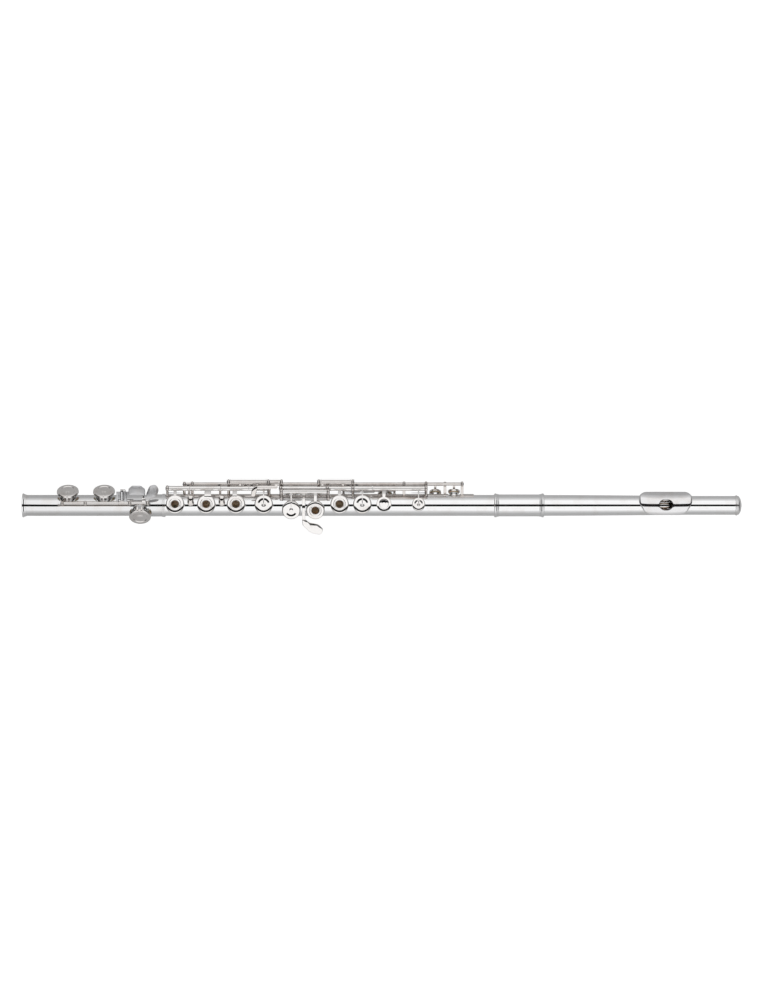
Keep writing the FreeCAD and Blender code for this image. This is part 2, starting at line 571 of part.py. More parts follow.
def make_foot_keys():
    half = POST_HALF - 0.1
    gap = POST_GAP
    # C key: its cup tube and its touch tube are both pinned to one long core rod
    core = rod(FOOT_POSTS[0] - half, FOOT_POSTS[2] + half, FOOT_STEEL_R, FOOT_LINE)
    cup_tube = rod(FOOT_POSTS[0] + half + gap, FOOT_POSTS[1] - half - gap, FOOT_TUBE_R, FOOT_LINE)
    touch_tube = rod(91.6, FOOT_POSTS[2] - half - gap, FOOT_TUBE_R, FOOT_LINE)
    lever = plate((96.4, 2.6), [(100.4, 2.6), (100.4, 6.0), ((100.2, 11.0), (98.6, 14.4)),
                                ((97.4, 15.6), (96.4, 14.4)), (96.4, 2.6)], 13.4, 14.8)
    ears = [plate((93.2, y0), [(96.6, y0), (96.6, y1), (93.2, y1), (93.2, y0)], 12.9, 14.6)
            for y0, y1 in ((2.4, 4.4), (14.6, 15.4))]
    link = plate((96.5, 13.6), [(97.8, 13.6), (97.8, 15.4), (96.5, 15.4), (96.5, 13.6)], 12.9, 14.6)
    spindle = Part.makeCylinder(0.6, 11.4, V(94.8, 3.6, 13.9), V(0, 1, 0))
    whole = fused([core, cup_tube, touch_tube, cup_on(FOOT_C, FOOT_LINE, "closed"), lever, link, spindle]
                  + ears)
    parts["foot_c_key"] = swing(whole, FOOT_LINE, OPEN_ANGLE)
    parts["foot_c_pad"] = swing(pad_of(FOOT_C), FOOT_LINE, OPEN_ANGLE)
    roller = Part.makeCylinder(1.5, 9.9, V(94.8, 4.55, 13.9), V(0, 1, 0))
    roller = roller.cut(Part.makeCylinder(0.65, 14.0, V(94.8, 2.0, 13.9), V(0, 1, 0)))
    parts["c_roller"] = swing(roller, FOOT_LINE, OPEN_ANGLE)

    # C sharp key: a tube that turns on the core rod, and a bar that reaches its touch under the C lever
    tube = rod(FOOT_POSTS[1] + half + gap, 91.3, FOOT_TUBE_R, FOOT_LINE)
    root = band(88.4, 91.0, [(FOOT_LINE[0] + 0.8, FOOT_LINE[1] - 0.6), (6.0, 11.8), (9.4, 9.9), (11.2, 8.9)],
                1.3)
    bar = plate((88.4, 9.4), [(104.8, 9.4), (104.8, 12.4), (88.4, 12.4), (88.4, 9.4)], 8.5, 9.8)
    stalk = plate((101.6, 10.4), [(104.8, 10.4), (104.8, 12.4), (101.6, 12.4), (101.6, 10.4)], 8.5, 12.7)
    touch = plate((101.0, 9.6), [(116.8, 9.6), (116.8, 14.6), ((115.7, 17.5), (112.8, 18.7)), (104.6, 18.7),
                                 ((102.0, 17.6), (101.0, 15.1)), (101.0, 9.6)], 12.4, 13.8)
    touch = softened(touch, 0.3, 13.8)
    whole = fused([tube, cup_on(FOOT_C_SHARP, FOOT_LINE, "closed"), root, bar, stalk, touch])
    whole = whole.cut(rod(0.0, 92.0, FOOT_STEEL_R + RUN_GAP, FOOT_LINE))
    parts["foot_c_sharp_key"] = swing(whole, FOOT_LINE, OPEN_ANGLE)
    parts["foot_c_sharp_pad"] = swing(pad_of(FOOT_C_SHARP), FOOT_LINE, OPEN_ANGLE)

    # D sharp key: two slim arms to its cup, teardrop touch on the player's side
    tube = rod(FOOT_POSTS[2] + half + gap, FOOT_POSTS[3] - half - gap, FOOT_TUBE_R, FOOT_LINE)
    x, angle, r, _ = FOOT_D_SHARP
    y, z = seen_from(FOOT_LINE, angle)
    path = [(y - 0.5, z + 0.9), ((y + r) / 2 + 0.5, (z + 15.4) / 2 + 0.9), (r - 0.3, 15.3), (r * 0.72, 15.35)]
    arms = [round_tube(band(x + s - 0.7, x + s + 0.7, path, 1.0), angle) for s in (-2.0, 2.0)]
    cup = round_tube(closed_cup(FOOT_D_SHARP), FOOT_D_SHARP[1])
    stem = band(113.6, 117.0, [(2.6, 14.4), (4.6, 15.2), (6.8, 15.0), (8.4, 14.9)], 1.2)
    touch = plate((113.8, 5.4), [(121.4, 5.4), ((127.4, 7.4), (129.6, 13.0)), ((128.6, 18.6), (124.4, 19.8)),
                                 ((119.6, 17.2), (118.0, 11.6)), (118.0, 8.5), (113.8, 8.5), (113.8, 5.4)],
                  14.2, 15.6)
    touch = softened(touch, 0.45, 15.6)
    whole = fused([tube, cup, stem, touch] + arms)
    parts["foot_d_sharp_key"] = whole.cut(rod(102.0, 122.0, FOOT_STEEL_R + RUN_GAP, FOOT_LINE))
    parts["foot_d_sharp_pad"] = pad_of(FOOT_D_SHARP)


# ---------------------------------------------------------------- ribs, posts, steels, springs
def ribs(straps, cups):
    """Strap ribs, cleared round every chimney."""
    pieces = [sector(x0, x1, TUBE_R, RIB_TOP, a0, a1) for x0, x1, a0, a1 in straps]
    whole = fused(pieces)
    for x, angle, _, hole in cups:
        clear = Part.makeCylinder(hole + CHIMNEY_WALL + 0.7, 20.0, V(x, 0, 0))
        whole = whole.cut(round_tube(clear, angle))
    return Part.makeCompound(whole.Solids)


def ball_post(x, line, ball=2.5, stem=1.15, hole=STEEL_R + 0.03, base_r=RIB_TOP):
    """A turned post: flared foot on the rib, stem, and a ball with the steel's hole."""
    radius = math.hypot(*line)
    angle = math.degrees(math.atan2(line[0], line[1]))
    foot = turned_up(x, (0.0, base_r - 0.4), [(2.0, base_r - 0.4), (2.0, base_r + 0.4),
                                              ((stem + 0.25, base_r + 0.75), (stem, base_r + 1.5)),
                                              (stem, radius), (0.0, radius), (0.0, base_r - 0.4)])
    head = Part.makeSphere(ball, V(x, 0, radius))
    slab = Part.makeBox(POST_WIDTH, 30.0, 40.0, V(x - POST_HALF, -15.0, 0.0))
    post = round_tube(foot.fuse(head.common(slab)), angle)
    return post.cut(rod(x - 10, x + 10, base_r)).cut(rod(x - 10, x + 10, hole, line))


def bracket(x, points, half_widths, hole_lines, width=POST_WIDTH, base_r=RIB_TOP):
    """A flat post cut from plate: rounded limbs from the rib through the given (Y, Z) points."""
    limbs = []
    for (start, end, half) in zip(points[:-1], points[1:], half_widths):
        dy, dz = end[0] - start[0], end[1] - start[1]
        length = math.hypot(dy, dz)
        ny, nz = -dz / length * half, dy / length * half
        corners = [V(x - width / 2, p[0] + s * ny, p[1] + s * nz) for p, s in
                   ((start, 1), (end, 1), (end, -1), (start, -1))]
        wire = Part.makePolygon(corners + corners[:1])
        limbs.append(Part.Face(wire).extrude(V(width, 0, 0)))
        limbs.append(rod(x - width / 2, x + width / 2, half, end))
    whole = fused(limbs).cut(rod(x - 10, x + 10, base_r))
    for line, hole in hole_lines:
        whole = whole.cut(rod(x - 10, x + 10, hole, line))
    return whole


RIB_STRAPS = ((136.0, 331.0, 55.0, 98.0), (331.0, 381.0, 38.0, 98.0), (381.0, 412.0, 78.0, 98.0),
              (412.0, 426.5, 55.0, 98.0), (302.0, 354.0, 98.0, 116.0))
TRILL_RUN = TRILL_R + RUN_GAP


def trill_post(x, with_sharp, with_plain, passing_sharp=False, end=False):
    """A post for one or both trill rods, rising from the rib below the main line."""
    shapes = []
    if with_sharp:
        hole = TRILL_RUN if not end else 0.83
        shapes.append(bracket(x, [(9.6, 1.8), TRILL_SHARP], (1.7,), []))
        shapes.append(rod(x - POST_HALF, x + POST_HALF, 2.35, TRILL_SHARP))
    if with_plain:
        shapes.append(bracket(x, [(9.6, -0.4), TRILL_PLAIN], (1.5,), []))
        shapes.append(rod(x - POST_HALF, x + POST_HALF, 2.35, TRILL_PLAIN))
    whole = fused(shapes)
    if with_sharp:
        whole = whole.cut(rod(x - 5, x + 5, hole, TRILL_SHARP))
    if with_plain:
        whole = whole.cut(rod(x - 5, x + 5, 0.83 if end else TRILL_RUN, TRILL_PLAIN))
    if passing_sharp:
        whole = whole.cut(rod(x - 5, x + 5, TRILL_R + 0.35, TRILL_SHARP))
    return whole


def bridge_post(x, hole=STEEL_R + 0.03):
    """A bracket that guides the upper trill rod and carries a bridge tube's steel."""
    return bracket(x, [(9.6, 1.3), TRILL_SHARP, BRIDGE], (1.8, 1.8), [(TRILL_SHARP, TRILL_RUN)]).fuse(
        rod(x - POST_HALF, x + POST_HALF, 2.4, BRIDGE)).cut(rod(x - 5, x + 5, hole, BRIDGE)).cut(
        rod(x - 5, x + 5, TRILL_RUN, TRILL_SHARP))


def make_body_fittings():
    parts["body_ribs"] = ribs(RIB_STRAPS, BODY_CUPS)
    posts = [ball_post(x, MAIN) for x in MAIN_POSTS + (G_SHARP_POST,)]
    posts += [ball_post(x, G_LINE, base_r=TUBE_R) for x in G_POSTS]
    posts += [ball_post(x, THUMB, ball=2.1, stem=1.0) for x in THUMB_POSTS]
    posts.append(trill_post(TRILL_SHARP_POSTS[0], True, True))
    posts.append(trill_post(TRILL_SHARP_POSTS[1], True, False, end=True))
    posts.append(trill_post(TRILL_PLAIN_POSTS[0], False, True, end=True))
    posts.append(trill_post(TRILL_PLAIN_POSTS[1], False, True, passing_sharp=True, end=True))
    posts += [trill_post(x, True, True) for x in TRILL_GUIDES]
    posts += [bridge_post(x) for x in sorted(set(RH_BRIDGE_POSTS + LH_BRIDGE_POSTS + LEVER_POSTS))]
    whole = posts[0].multiFuse(posts[1:]).cut(parts["body_ribs"])
    parts["body_posts"] = Part.makeCompound(whole.Solids)


def steel(x0, x1, line, radius=STEEL_R):
    """A hinge steel with a slotted screw head proud of its first post."""
    head = rod(x0 - 0.5, x0, radius + 0.25, line)
    slot = Part.makeBox(0.3, 6.0, 0.35, V(x0 - 0.5, line[0] - 3.0, line[1] - 0.175))
    return rod(x0, x1, radius, line).fuse(head).cut(slot)


def make_steels_and_springs():
    steels = []
    for line, x0, x1 in ((MAIN, MAIN_POSTS[0], MAIN_POSTS[1]), (MAIN, G_SHARP_POST, MAIN_POSTS[4]),
                         (G_LINE, G_POSTS[0], G_POSTS[1]),
                         (THUMB, THUMB_POSTS[0], THUMB_POSTS[1]),
                         (BRIDGE, RH_BRIDGE_POSTS[0], LEVER_POSTS[1]),
                         (BRIDGE, LH_BRIDGE_POSTS[0], LH_BRIDGE_POSTS[1])):
        steels.append(steel(x0 - POST_HALF, x1 + POST_HALF, line))
    for line, posts in ((TRILL_SHARP, TRILL_SHARP_POSTS), (TRILL_PLAIN, TRILL_PLAIN_POSTS)):
        right = posts[1]
        steels.append(rod(right - POST_HALF + 0.02, right + POST_HALF + 0.4, 0.8, line))
    left = TRILL_PLAIN_POSTS[0]
    steels.append(rod(left - POST_HALF - 0.4, left + POST_HALF - 0.02, 0.8, TRILL_PLAIN))
    parts["body_steels"] = Part.makeCompound(steels)

    needles = []
    for x, sign in ((137.2, 1), (233.4, -1), (312.4, -1), (312.4, 1), (381.5, -1)):
        y, z = at_angle(13.2, 63.6)
        base = x + sign * (1.15 + 0.05)
        needles.append(Part.makeCone(0.32, 0.14, 13.0, V(base, y, z), V(sign, 0, 0)))
    parts["body_springs"] = Part.makeCompound(needles)


def make_foot_fittings():
    parts["foot_rib"] = ribs(((34.0, FOOT_SOCKET_X - 0.7, -6.0, 24.0),), FOOT_CUPS)
    hole = FOOT_STEEL_R + RUN_GAP
    posts = [ball_post(x, FOOT_LINE, ball=2.2, stem=1.3, hole=hole) for x in FOOT_POSTS]
    slab = POST_HALF - 0.1
    posts = [p.common(Part.makeBox(2 * slab, 60, 60, V(x - slab, -30, -30)))
             for p, x in zip(posts, FOOT_POSTS)]
    parts["foot_posts"] = Part.makeCompound(posts)
    start = FOOT_POSTS[2] + slab + 0.02
    parts["foot_steel"] = rod(start, FOOT_POSTS[3] + slab, FOOT_STEEL_R, FOOT_LINE)


def main():
    make_foot_tube()
    make_body_tube()
    make_barrel()
    make_head()
    make_crown_and_stopper()
    make_main_stack()
    make_bridges()
    make_g_keys()
    make_thumb_keys()
    make_trill_keys()
    make_side_lever()
    make_foot_keys()
    make_body_fittings()
    make_steels_and_springs()
    make_foot_fittings()
    os.makedirs("parts", exist_ok=True)
    for name, shape in parts.items():
        shape.exportStep("parts/" + name + ".step")
        box = shape.BoundBox
        print(name, len(shape.Solids), shape.isValid(), round(shape.Volume, 1),
              [round(v, 1) for v in (box.XMin, box.YMin, box.ZMin, box.XMax, box.YMax, box.ZMax)])


main()
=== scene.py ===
import bpy
import bmesh
import json
import math
from mathutils import Matrix, Vector


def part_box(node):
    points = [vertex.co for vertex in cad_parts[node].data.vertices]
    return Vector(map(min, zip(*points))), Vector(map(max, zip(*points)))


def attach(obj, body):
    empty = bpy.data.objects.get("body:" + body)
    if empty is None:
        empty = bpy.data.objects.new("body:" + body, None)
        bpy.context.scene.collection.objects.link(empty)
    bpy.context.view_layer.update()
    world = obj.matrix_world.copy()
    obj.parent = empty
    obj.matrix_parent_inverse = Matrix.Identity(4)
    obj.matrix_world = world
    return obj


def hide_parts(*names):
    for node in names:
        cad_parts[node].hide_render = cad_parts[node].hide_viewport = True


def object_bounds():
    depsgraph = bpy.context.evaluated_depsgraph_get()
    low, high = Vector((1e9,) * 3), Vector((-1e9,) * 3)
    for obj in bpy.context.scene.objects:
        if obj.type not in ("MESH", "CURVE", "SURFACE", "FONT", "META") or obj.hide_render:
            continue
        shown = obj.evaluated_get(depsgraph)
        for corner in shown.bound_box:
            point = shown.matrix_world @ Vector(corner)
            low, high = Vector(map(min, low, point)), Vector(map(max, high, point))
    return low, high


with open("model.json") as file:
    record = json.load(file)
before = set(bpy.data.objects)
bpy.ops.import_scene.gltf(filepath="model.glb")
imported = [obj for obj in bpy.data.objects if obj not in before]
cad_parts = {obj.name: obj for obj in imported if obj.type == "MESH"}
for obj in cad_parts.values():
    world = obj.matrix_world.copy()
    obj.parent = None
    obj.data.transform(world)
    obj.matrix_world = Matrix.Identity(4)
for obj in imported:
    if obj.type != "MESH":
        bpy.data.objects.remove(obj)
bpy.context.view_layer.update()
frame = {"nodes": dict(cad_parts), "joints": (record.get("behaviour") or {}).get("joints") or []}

joints = {j["name"]: j for j in frame["joints"]}

# ==== silver and how it wears
# The flute is silver, drawn and turned thin, then buffed to a mirror. Handling leaves fine
# hairlines that run round or along each piece, and a faint warm tarnish in patches.
MM = 0.001


def shader_group(name, inputs, outputs):
    """An empty shader group with its named sockets, and its input and output nodes."""
    tree = bpy.data.node_groups.new(name, "ShaderNodeTree")
    for socket, kind, value in inputs:
        tree.interface.new_socket(socket, in_out="INPUT", socket_type=kind).default_value = value
    for socket, kind in outputs:
        tree.interface.new_socket(socket, in_out="OUTPUT", socket_type=kind)
    return tree, tree.nodes.new("NodeGroupInput"), tree.nodes.new("NodeGroupOutput")


def feed(tree, value, socket):
    """Link a node's output to a socket, or set a plain value on it."""
    if isinstance(value, bpy.types.NodeSocket):
        tree.links.new(value, socket)
    else:
        socket.default_value = value


def calc(tree, operation, *values):
    """A sum of sockets or numbers."""
    node = tree.nodes.new("ShaderNodeMath")
    node.operation = operation
    for value, socket in zip(values, node.inputs):
        feed(tree, value, socket)
    return node.outputs[0]


def blend_colours(tree, factor, first, second):
    """Two colours mixed by a factor. Each is a socket or a plain colour."""
    mix = tree.nodes.new("ShaderNodeMix")
    mix.data_type = "RGBA"
    feed(tree, factor, mix.inputs["Factor"])
    feed(tree, first, mix.inputs[6])
    feed(tree, second, mix.inputs[7])
    return mix.outputs[2]


def ramp_between(tree, value, low, high, low_out=0.0, high_out=1.0):
    """A smooth step from low_out to high_out as value passes from low to high."""
    step = tree.nodes.new("ShaderNodeMapRange")
    step.interpolation_type = "SMOOTHSTEP"
    for socket, given in (("Value", value), ("From Min", low), ("From Max", high),
                          ("To Min", low_out), ("To Max", high_out)):
        feed(tree, given, step.inputs[socket])
    return step.outputs["Result"]


def noise(tree, place, scale, detail, stretch=(1, 1, 1)):
    """A noise value that is stretched along the object's own axes."""
    mapping = tree.nodes.new("ShaderNodeMapping")
    tree.links.new(place, mapping.inputs["Vector"])
    mapping.inputs["Scale"].default_value = stretch
    made = tree.nodes.new("ShaderNodeTexNoise")
    tree.links.new(mapping.outputs["Vector"], made.inputs["Vector"])
    made.inputs["Scale"].default_value = scale
    made.inputs["Detail"].default_value = detail
    return made.outputs["Fac"]


def own_axes(tree):
    """Places in the object's own axes, which move with it."""
    return tree.nodes.new("ShaderNodeTexCoord").outputs["Object"]


def new_material(name):
    """A material, its node tree and its shader."""
    material = bpy.data.materials.new(name)
    material.use_nodes = True
    return material, material.node_tree, material.node_tree.nodes["Principled BSDF"]


def dimpled(tree, shader, height, strength, distance):
    """Raise the surface by a height value."""
    bump = tree.nodes.new("ShaderNodeBump")
    bump.inputs["Strength"].default_value = strength
    bump.inputs["Distance"].default_value = distance
    tree.links.new(height, bump.inputs["Height"])
    tree.links.new(bump.outputs["Normal"], shader.inputs["Normal"])


def make_buffed_silver_group():
    """Hairlines, soft dimples and patchy tarnish of buffed silver."""
    tree, given, result = shader_group(
        "buffed silver",
        [("Silver", "NodeSocketColor", (0.9, 0.9, 0.9, 1)),
         ("Tarnish", "NodeSocketColor", (0.5, 0.42, 0.34, 1)),
         ("Tarnish amount", "NodeSocketFloat", 0.1), ("Hairlines", "NodeSocketFloat", 0.1)],
        [("Color", "NodeSocketColor"), ("Roughness", "NodeSocketFloat"), ("Height", "NodeSocketFloat")])
    place = own_axes(tree)
    patches = ramp_between(tree, noise(tree, place, 90.0, 4.0), 0.48, 0.72)
    specks = ramp_between(tree, noise(tree, place, 1400.0, 2.0), 0.66, 0.74)
    stained = calc(tree, "MULTIPLY_ADD", specks, 0.35, patches)
    amount = calc(tree, "MULTIPLY", stained, given.outputs["Tarnish amount"])
    along = noise(tree, place, 60.0, 5.0, (1.0, 60.0, 60.0))
    across = noise(tree, place, 60.0, 5.0, (60.0, 4.0, 4.0))
    lines = calc(tree, "MULTIPLY", along, across)
    polish = ramp_between(tree, patches, 0.0, 1.0, 0.035, 0.075)
    for value, socket in (
            (blend_colours(tree, amount, given.outputs["Silver"], given.outputs["Tarnish"]), "Color"),
            (calc(tree, "MULTIPLY_ADD", lines, given.outputs["Hairlines"], polish), "Roughness"),
            (noise(tree, place, 260.0, 2.0), "Height")):
        tree.links.new(value, result.inputs[socket])
    return tree


buffed_silver = make_buffed_silver_group()


DIMPLES = 0.00001     # metres, the depth of what the buffing wheel leaves


def silver(name, colour, tarnish, hairlines, warm=(0.55, 0.45, 0.36), base_rough=0.0):
    """A silver finish with its own tone, tarnish and polish."""
    material, tree, shader = new_material(name)
    worn = tree.nodes.new("ShaderNodeGroup")
    worn.node_tree = buffed_silver
    for socket, value in (("Silver", (*colour, 1.0)), ("Tarnish", (*warm, 1.0)),
                          ("Tarnish amount", tarnish), ("Hairlines", hairlines)):
        worn.inputs[socket].default_value = value
    tree.links.new(worn.outputs["Color"], shader.inputs["Base Color"])
    tree.links.new(calc(tree, "ADD", worn.outputs["Roughness"], base_rough), shader.inputs["Roughness"])
    dimpled(tree, shader, worn.outputs["Height"], 0.25, DIMPLES)
    shader.inputs["Metallic"].default_value = 1.0
    return material


# ==== foot tube with its drawn tone holes
# The foot is a thin silver tube. Its tone holes are drawn up out of the wall and their rims rolled
# over. A wider sleeve soldered on its upper end takes the tenon of the body.
TUBE_R = 9.9
BORE_R = 9.5
SEAT = 12.1
CHIMNEY_WALL = 0.35
CELL = 4.0        # degrees between the lines of a tube's mesh
DRAW_FILLET = 0.65
SIDE_BY_SIDE = 3.0     # holes nearer than this along the tube share one patch of mesh


def rounded(corners, closed=True, steps=5):
    """An outline from corners (a, b, radius), with each corner turned into an arc."""
    points = []
    count = len(corners)
    for i, (a, b, radius) in enumerate(corners):
        here = Vector((a, b))
        if radius <= 0 or (not closed and i in (0, count - 1)):
            points.append((a, b))
            continue
        back = Vector(corners[i - 1][:2]) - here
        on = Vector(corners[(i + 1) % count][:2]) - here
        room = 0.49 * min(back.length, on.length)
        back.normalize()
        on.normalize()
        half = back.angle(on) / 2
        reach = min(radius / math.tan(half), room) if half > 1e-4 else room
        arc_r = reach * math.tan(half)
        centre = here + (back + on).normalized() * (arc_r / math.sin(half))
        first = here + back * reach - centre
        last = here + on * reach - centre
        sweep = first.angle_signed(last)
        for k in range(steps + 1):
            turn = -sweep * k / steps
            c, s = math.cos(turn), math.sin(turn)
            points.append((centre.x + first.x * c - first.y * s, centre.y + first.x * s + first.y * c))
    return points


def circle(steps):
    ways = [2 * math.pi * k / steps for k in range(steps)]
    return [(math.cos(way), math.sin(way)) for way in ways]


def spun(profile, outline, closed=False, centre=(0.0, 0.0)):
    """A shell from (size, height) points: each is a copy of the outline at that size and height."""
    n = len(outline)
    cx, cy = centre
    verts, faces, rows = [], [], []
    for size, height in profile:
        if abs(size) < 1e-7:
            rows.append([len(verts)] * n)
            verts.append((cx, cy, height))
        else:
            rows.append(list(range(len(verts), len(verts) + n)))
            verts += [(cx + (x - cx) * size, cy + (y - cy) * size, height) for x, y in outline]
    if closed:
        rows.append(rows[0])
    for low, high in zip(rows[:-1], rows[1:]):
        for k in range(n):
            m = (k + 1) % n
            face = [low[k], low[m], high[m], high[k]]
            face = [v for i, v in enumerate(face) if v not in face[:i]]
            if len(face) > 2:
                faces.append(face)
    return verts, faces


def placed(shell, matrix):
    verts, faces = shell
    return [tuple(matrix @ Vector(v)) for v in verts], faces


def joined(shells):
    """Several shells as one."""
    verts, faces = [], []
    for some_verts, some_faces in shells:
        base = len(verts)
        verts += some_verts
        faces += [[v + base for v in face] for face in some_faces]
    return verts, faces


ALONG_TUBE = Matrix.Rotation(math.radians(90), 4, "Y")


def turned(profile, line=(0.0, 0.0), closed=True, steps=96):
    """A piece turned on the lathe: (x, radius) points spun about a line along the flute."""
    shell = spun([(r, x) for x, r in profile], circle(steps), closed)
    return placed(shell, Matrix.Translation((0, line[0], line[1])) @ ALONG_TUBE)


def rod(x0, x1, radius, line):
    """A solid round bar with softened ends."""
    soft = 0.12
    return turned(rounded([(x0, 0, 0), (x0, radius, soft), (x1, radius, soft), (x1, 0, 0)], False, 3),
                  line, False, 40)


def sleeve(x0, x1, outer, inner, line=(0.0, 0.0), edge=0.1, steps=48):
    """A tube with softened ends."""
    return turned(rounded([(x0, inner, edge), (x0, outer, edge), (x1, outer, edge), (x1, inner, edge)],
                          True, 3), line, True, steps)


def make_piece(name, shells, body, material, replaced=(), sharp=32.0):
    """Join shells (in mm) into one object that rides on a body."""
    verts, faces = joined(shells)
    mesh = bpy.data.meshes.new(name)
    mesh.from_pydata([(x * MM, y * MM, z * MM) for x, y, z in verts], [], faces)
    work = bmesh.new()
    work.from_mesh(mesh)
    bmesh.ops.recalc_face_normals(work, faces=work.faces)
    work.to_mesh(mesh)
    work.free()
    mesh.shade_smooth()
    mesh.set_sharp_from_angle(angle=math.radians(sharp))
    mesh.materials.append(material)
    piece = bpy.data.objects.new(name, mesh)
    bpy.context.scene.collection.objects.link(piece)
    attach(piece, body)
    if replaced:
        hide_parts(*replaced)
    return piece


def on_tube(radius, angle):
    """(Y, Z) at a radius and an angle from the top towards the player, in degrees."""
    a = math.radians(angle)
    return radius * math.sin(a), radius * math.cos(a)


def drawn_tube(x0, x1, holes):
    """A tube whose tone holes are drawn out of its wall. Holes are (x, angle, radius)."""
    cell = math.radians(CELL)
    columns = round(2 * math.pi / cell)
    patches = []
    for x, angle, hole in holes:
        spread = hole + CHIMNEY_WALL + DRAW_FILLET
        half_cells = math.ceil(math.degrees(math.asin(min(0.94, (spread + 0.1) / TUBE_R))) / CELL)
        middle = round(angle / CELL)
        patches.append([x, angle, hole, middle - half_cells, middle + half_cells, spread + 0.35])
    groups = []
    for patch in sorted(patches):
        if groups and patch[0] - groups[-1][0][0] < SIDE_BY_SIDE:
            groups[-1].append(patch)
        else:
            groups.append([patch])
    lines = {x0, x1}
    for members in groups:
        widest = max(member[5] for member in members)
        low = max(members[0][0] - widest - 0.4, x0 + 0.2)
        high = min(members[-1][0] + widest + 0.4, x1 - 0.2)
        steps = max(8, round((high - low) / 0.8))
        row = [low + (high - low) * k / steps for k in range(steps + 1)]
        lines.update(row)
        for member in members:
            member.append((low, high, row))
    grid_x = sorted(lines)
    verts, faces = [], []

    def skin(radius, fillet, outward):
        index = {}

        def grid_vertex(i, j):
            key = (i, j % columns)
            if key not in index:
                y, z = on_tube(radius, math.degrees((j % columns) * cell))
                index[key] = len(verts)
                verts.append((grid_x[i], y, z))
            return index[key]

        def in_patch(i, j):
            middle = (grid_x[i] + grid_x[i + 1]) / 2
            for _, _, _, j0, j1, _, (low, high, _) in patches:
                if low < middle < high and (j - j0) % columns < j1 - j0:
                    return True
            return False

        for i in range(len(grid_x) - 1):
            for j in range(columns):
                if not in_patch(i, j):
                    faces.append([grid_vertex(i, j), grid_vertex(i + 1, j),
                                  grid_vertex(i + 1, j + 1), grid_vertex(i, j + 1)])
        rims = []
        for x, angle, hole, j0, j1, _, (_, _, row) in patches:
            i0, i1 = grid_x.index(row[0]), grid_x.index(row[-1])
            border = [(i, j0) for i in range(i0, i1)] + [(i1, j) for j in range(j0, j1)]
            border += [(i, j1) for i in range(i1, i0, -1)] + [(i0, j) for j in range(j1, j0, -1)]
            a = math.radians(angle)
            edge = []
            for i, j in border:
                y, z = on_tube(radius, j * CELL)
                edge.append((grid_x[i] - x, y * math.cos(a) - z * math.sin(a)))
            wall = hole + CHIMNEY_WALL if outward else hole
            skirt = wall + fillet
            loops = [[grid_vertex(i, j) for i, j in border]]
            ways = [math.atan2(v, u) for u, v in edge]
            for part in (0.35, 0.65, 0.85, 1.0):
                loop = []
                for (u, v), way in zip(edge, ways):
                    u1 = u + (skirt * math.cos(way) - u) * part
                    v1 = v + (skirt * math.sin(way) - v) * part
                    loop.append((u1, v1, math.sqrt(max(0.01, radius ** 2 - v1 ** 2))))
                loops.append(loop)
            for k in range(1, 6):
                t = k / 5
                loop = []
                for way in ways:
                    c, s = math.cos(way), math.sin(way)
                    start = math.sqrt(max(0.01, radius ** 2 - (skirt * s) ** 2))
                    corner = math.sqrt(max(0.01, radius ** 2 - (wall * s) ** 2))
                    r = skirt * (1 - t) ** 2 + wall * (2 * t * (1 - t) + t * t)
                    up = start * (1 - t) ** 2 + corner * 2 * t * (1 - t) + (corner + fillet) * t * t
                    loop.append((r * c, r * s, up))
                loops.append(loop)
            rims.append((x, a, hole, ways, loops))
        return rims

    def add_loop(x, a, loop):
        if isinstance(loop[0], int):
            return loop
        made = []
        for u, v, w in loop:
            made.append(len(verts))
            verts.append((x + u, v * math.cos(a) + w * math.sin(a), w * math.cos(a) - v * math.sin(a)))
        return made

    def bridge(first, second):
        n = len(first)
        for k in range(n):
            m = (k + 1) % n
            faces.append([first[k], first[m], second[m], second[k]])

    outer = skin(TUBE_R, DRAW_FILLET, True)
    inner = skin(BORE_R, 0.3, False)
    for (x, a, hole, ways, out_loops), (_, _, _, _, in_loops) in zip(outer, inner):
        wall = hole + CHIMNEY_WALL
        rim = [(wall, SEAT - 0.95), (wall + 0.12, SEAT - 0.75), (wall + 0.3, SEAT - 0.6),
               (wall + 0.38, SEAT - 0.4), (wall + 0.32, SEAT - 0.18), (wall + 0.14, SEAT - 0.03),
               (wall - 0.08, SEAT), (hole + 0.08, SEAT - 0.08), (hole, SEAT - 0.25)]
        lip = [[(r * math.cos(w), r * math.sin(w), h) for w in ways] for r, h in rim]
        chain = [add_loop(x, a, loop) for loop in out_loops + lip + in_loops[::-1]]
        for first, second in zip(chain[:-1], chain[1:]):
            bridge(first, second)
    for end in (x0, x1):
        base = len(verts)
        verts += [(end, *on_tube(radius, j * CELL)) for radius in (TUBE_R, BORE_R) for j in range(columns)]
        bridge(range(base, base + columns), range(base + columns, base + 2 * columns))
    return verts, faces


def welded(shell):
    """The shell with points that fall together made one."""
    mesh = bpy.data.meshes.new("weld")
    mesh.from_pydata(shell[0], [], shell[1])
    work = bmesh.new()
    work.from_mesh(mesh)
    bmesh.ops.remove_doubles(work, verts=work.verts, dist=0.0005)
    work.verts.index_update()
    result = [tuple(v.co) for v in work.verts], [[v.index for v in f.verts] for f in work.faces]
    work.free()
    bpy.data.meshes.remove(mesh)
    return result


def ends_x(node):
    """X of both ends of a CAD node, in mm."""
    return [corner.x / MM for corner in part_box(node)]


def middle_x(node):
    return sum(ends_x(node)) / 2


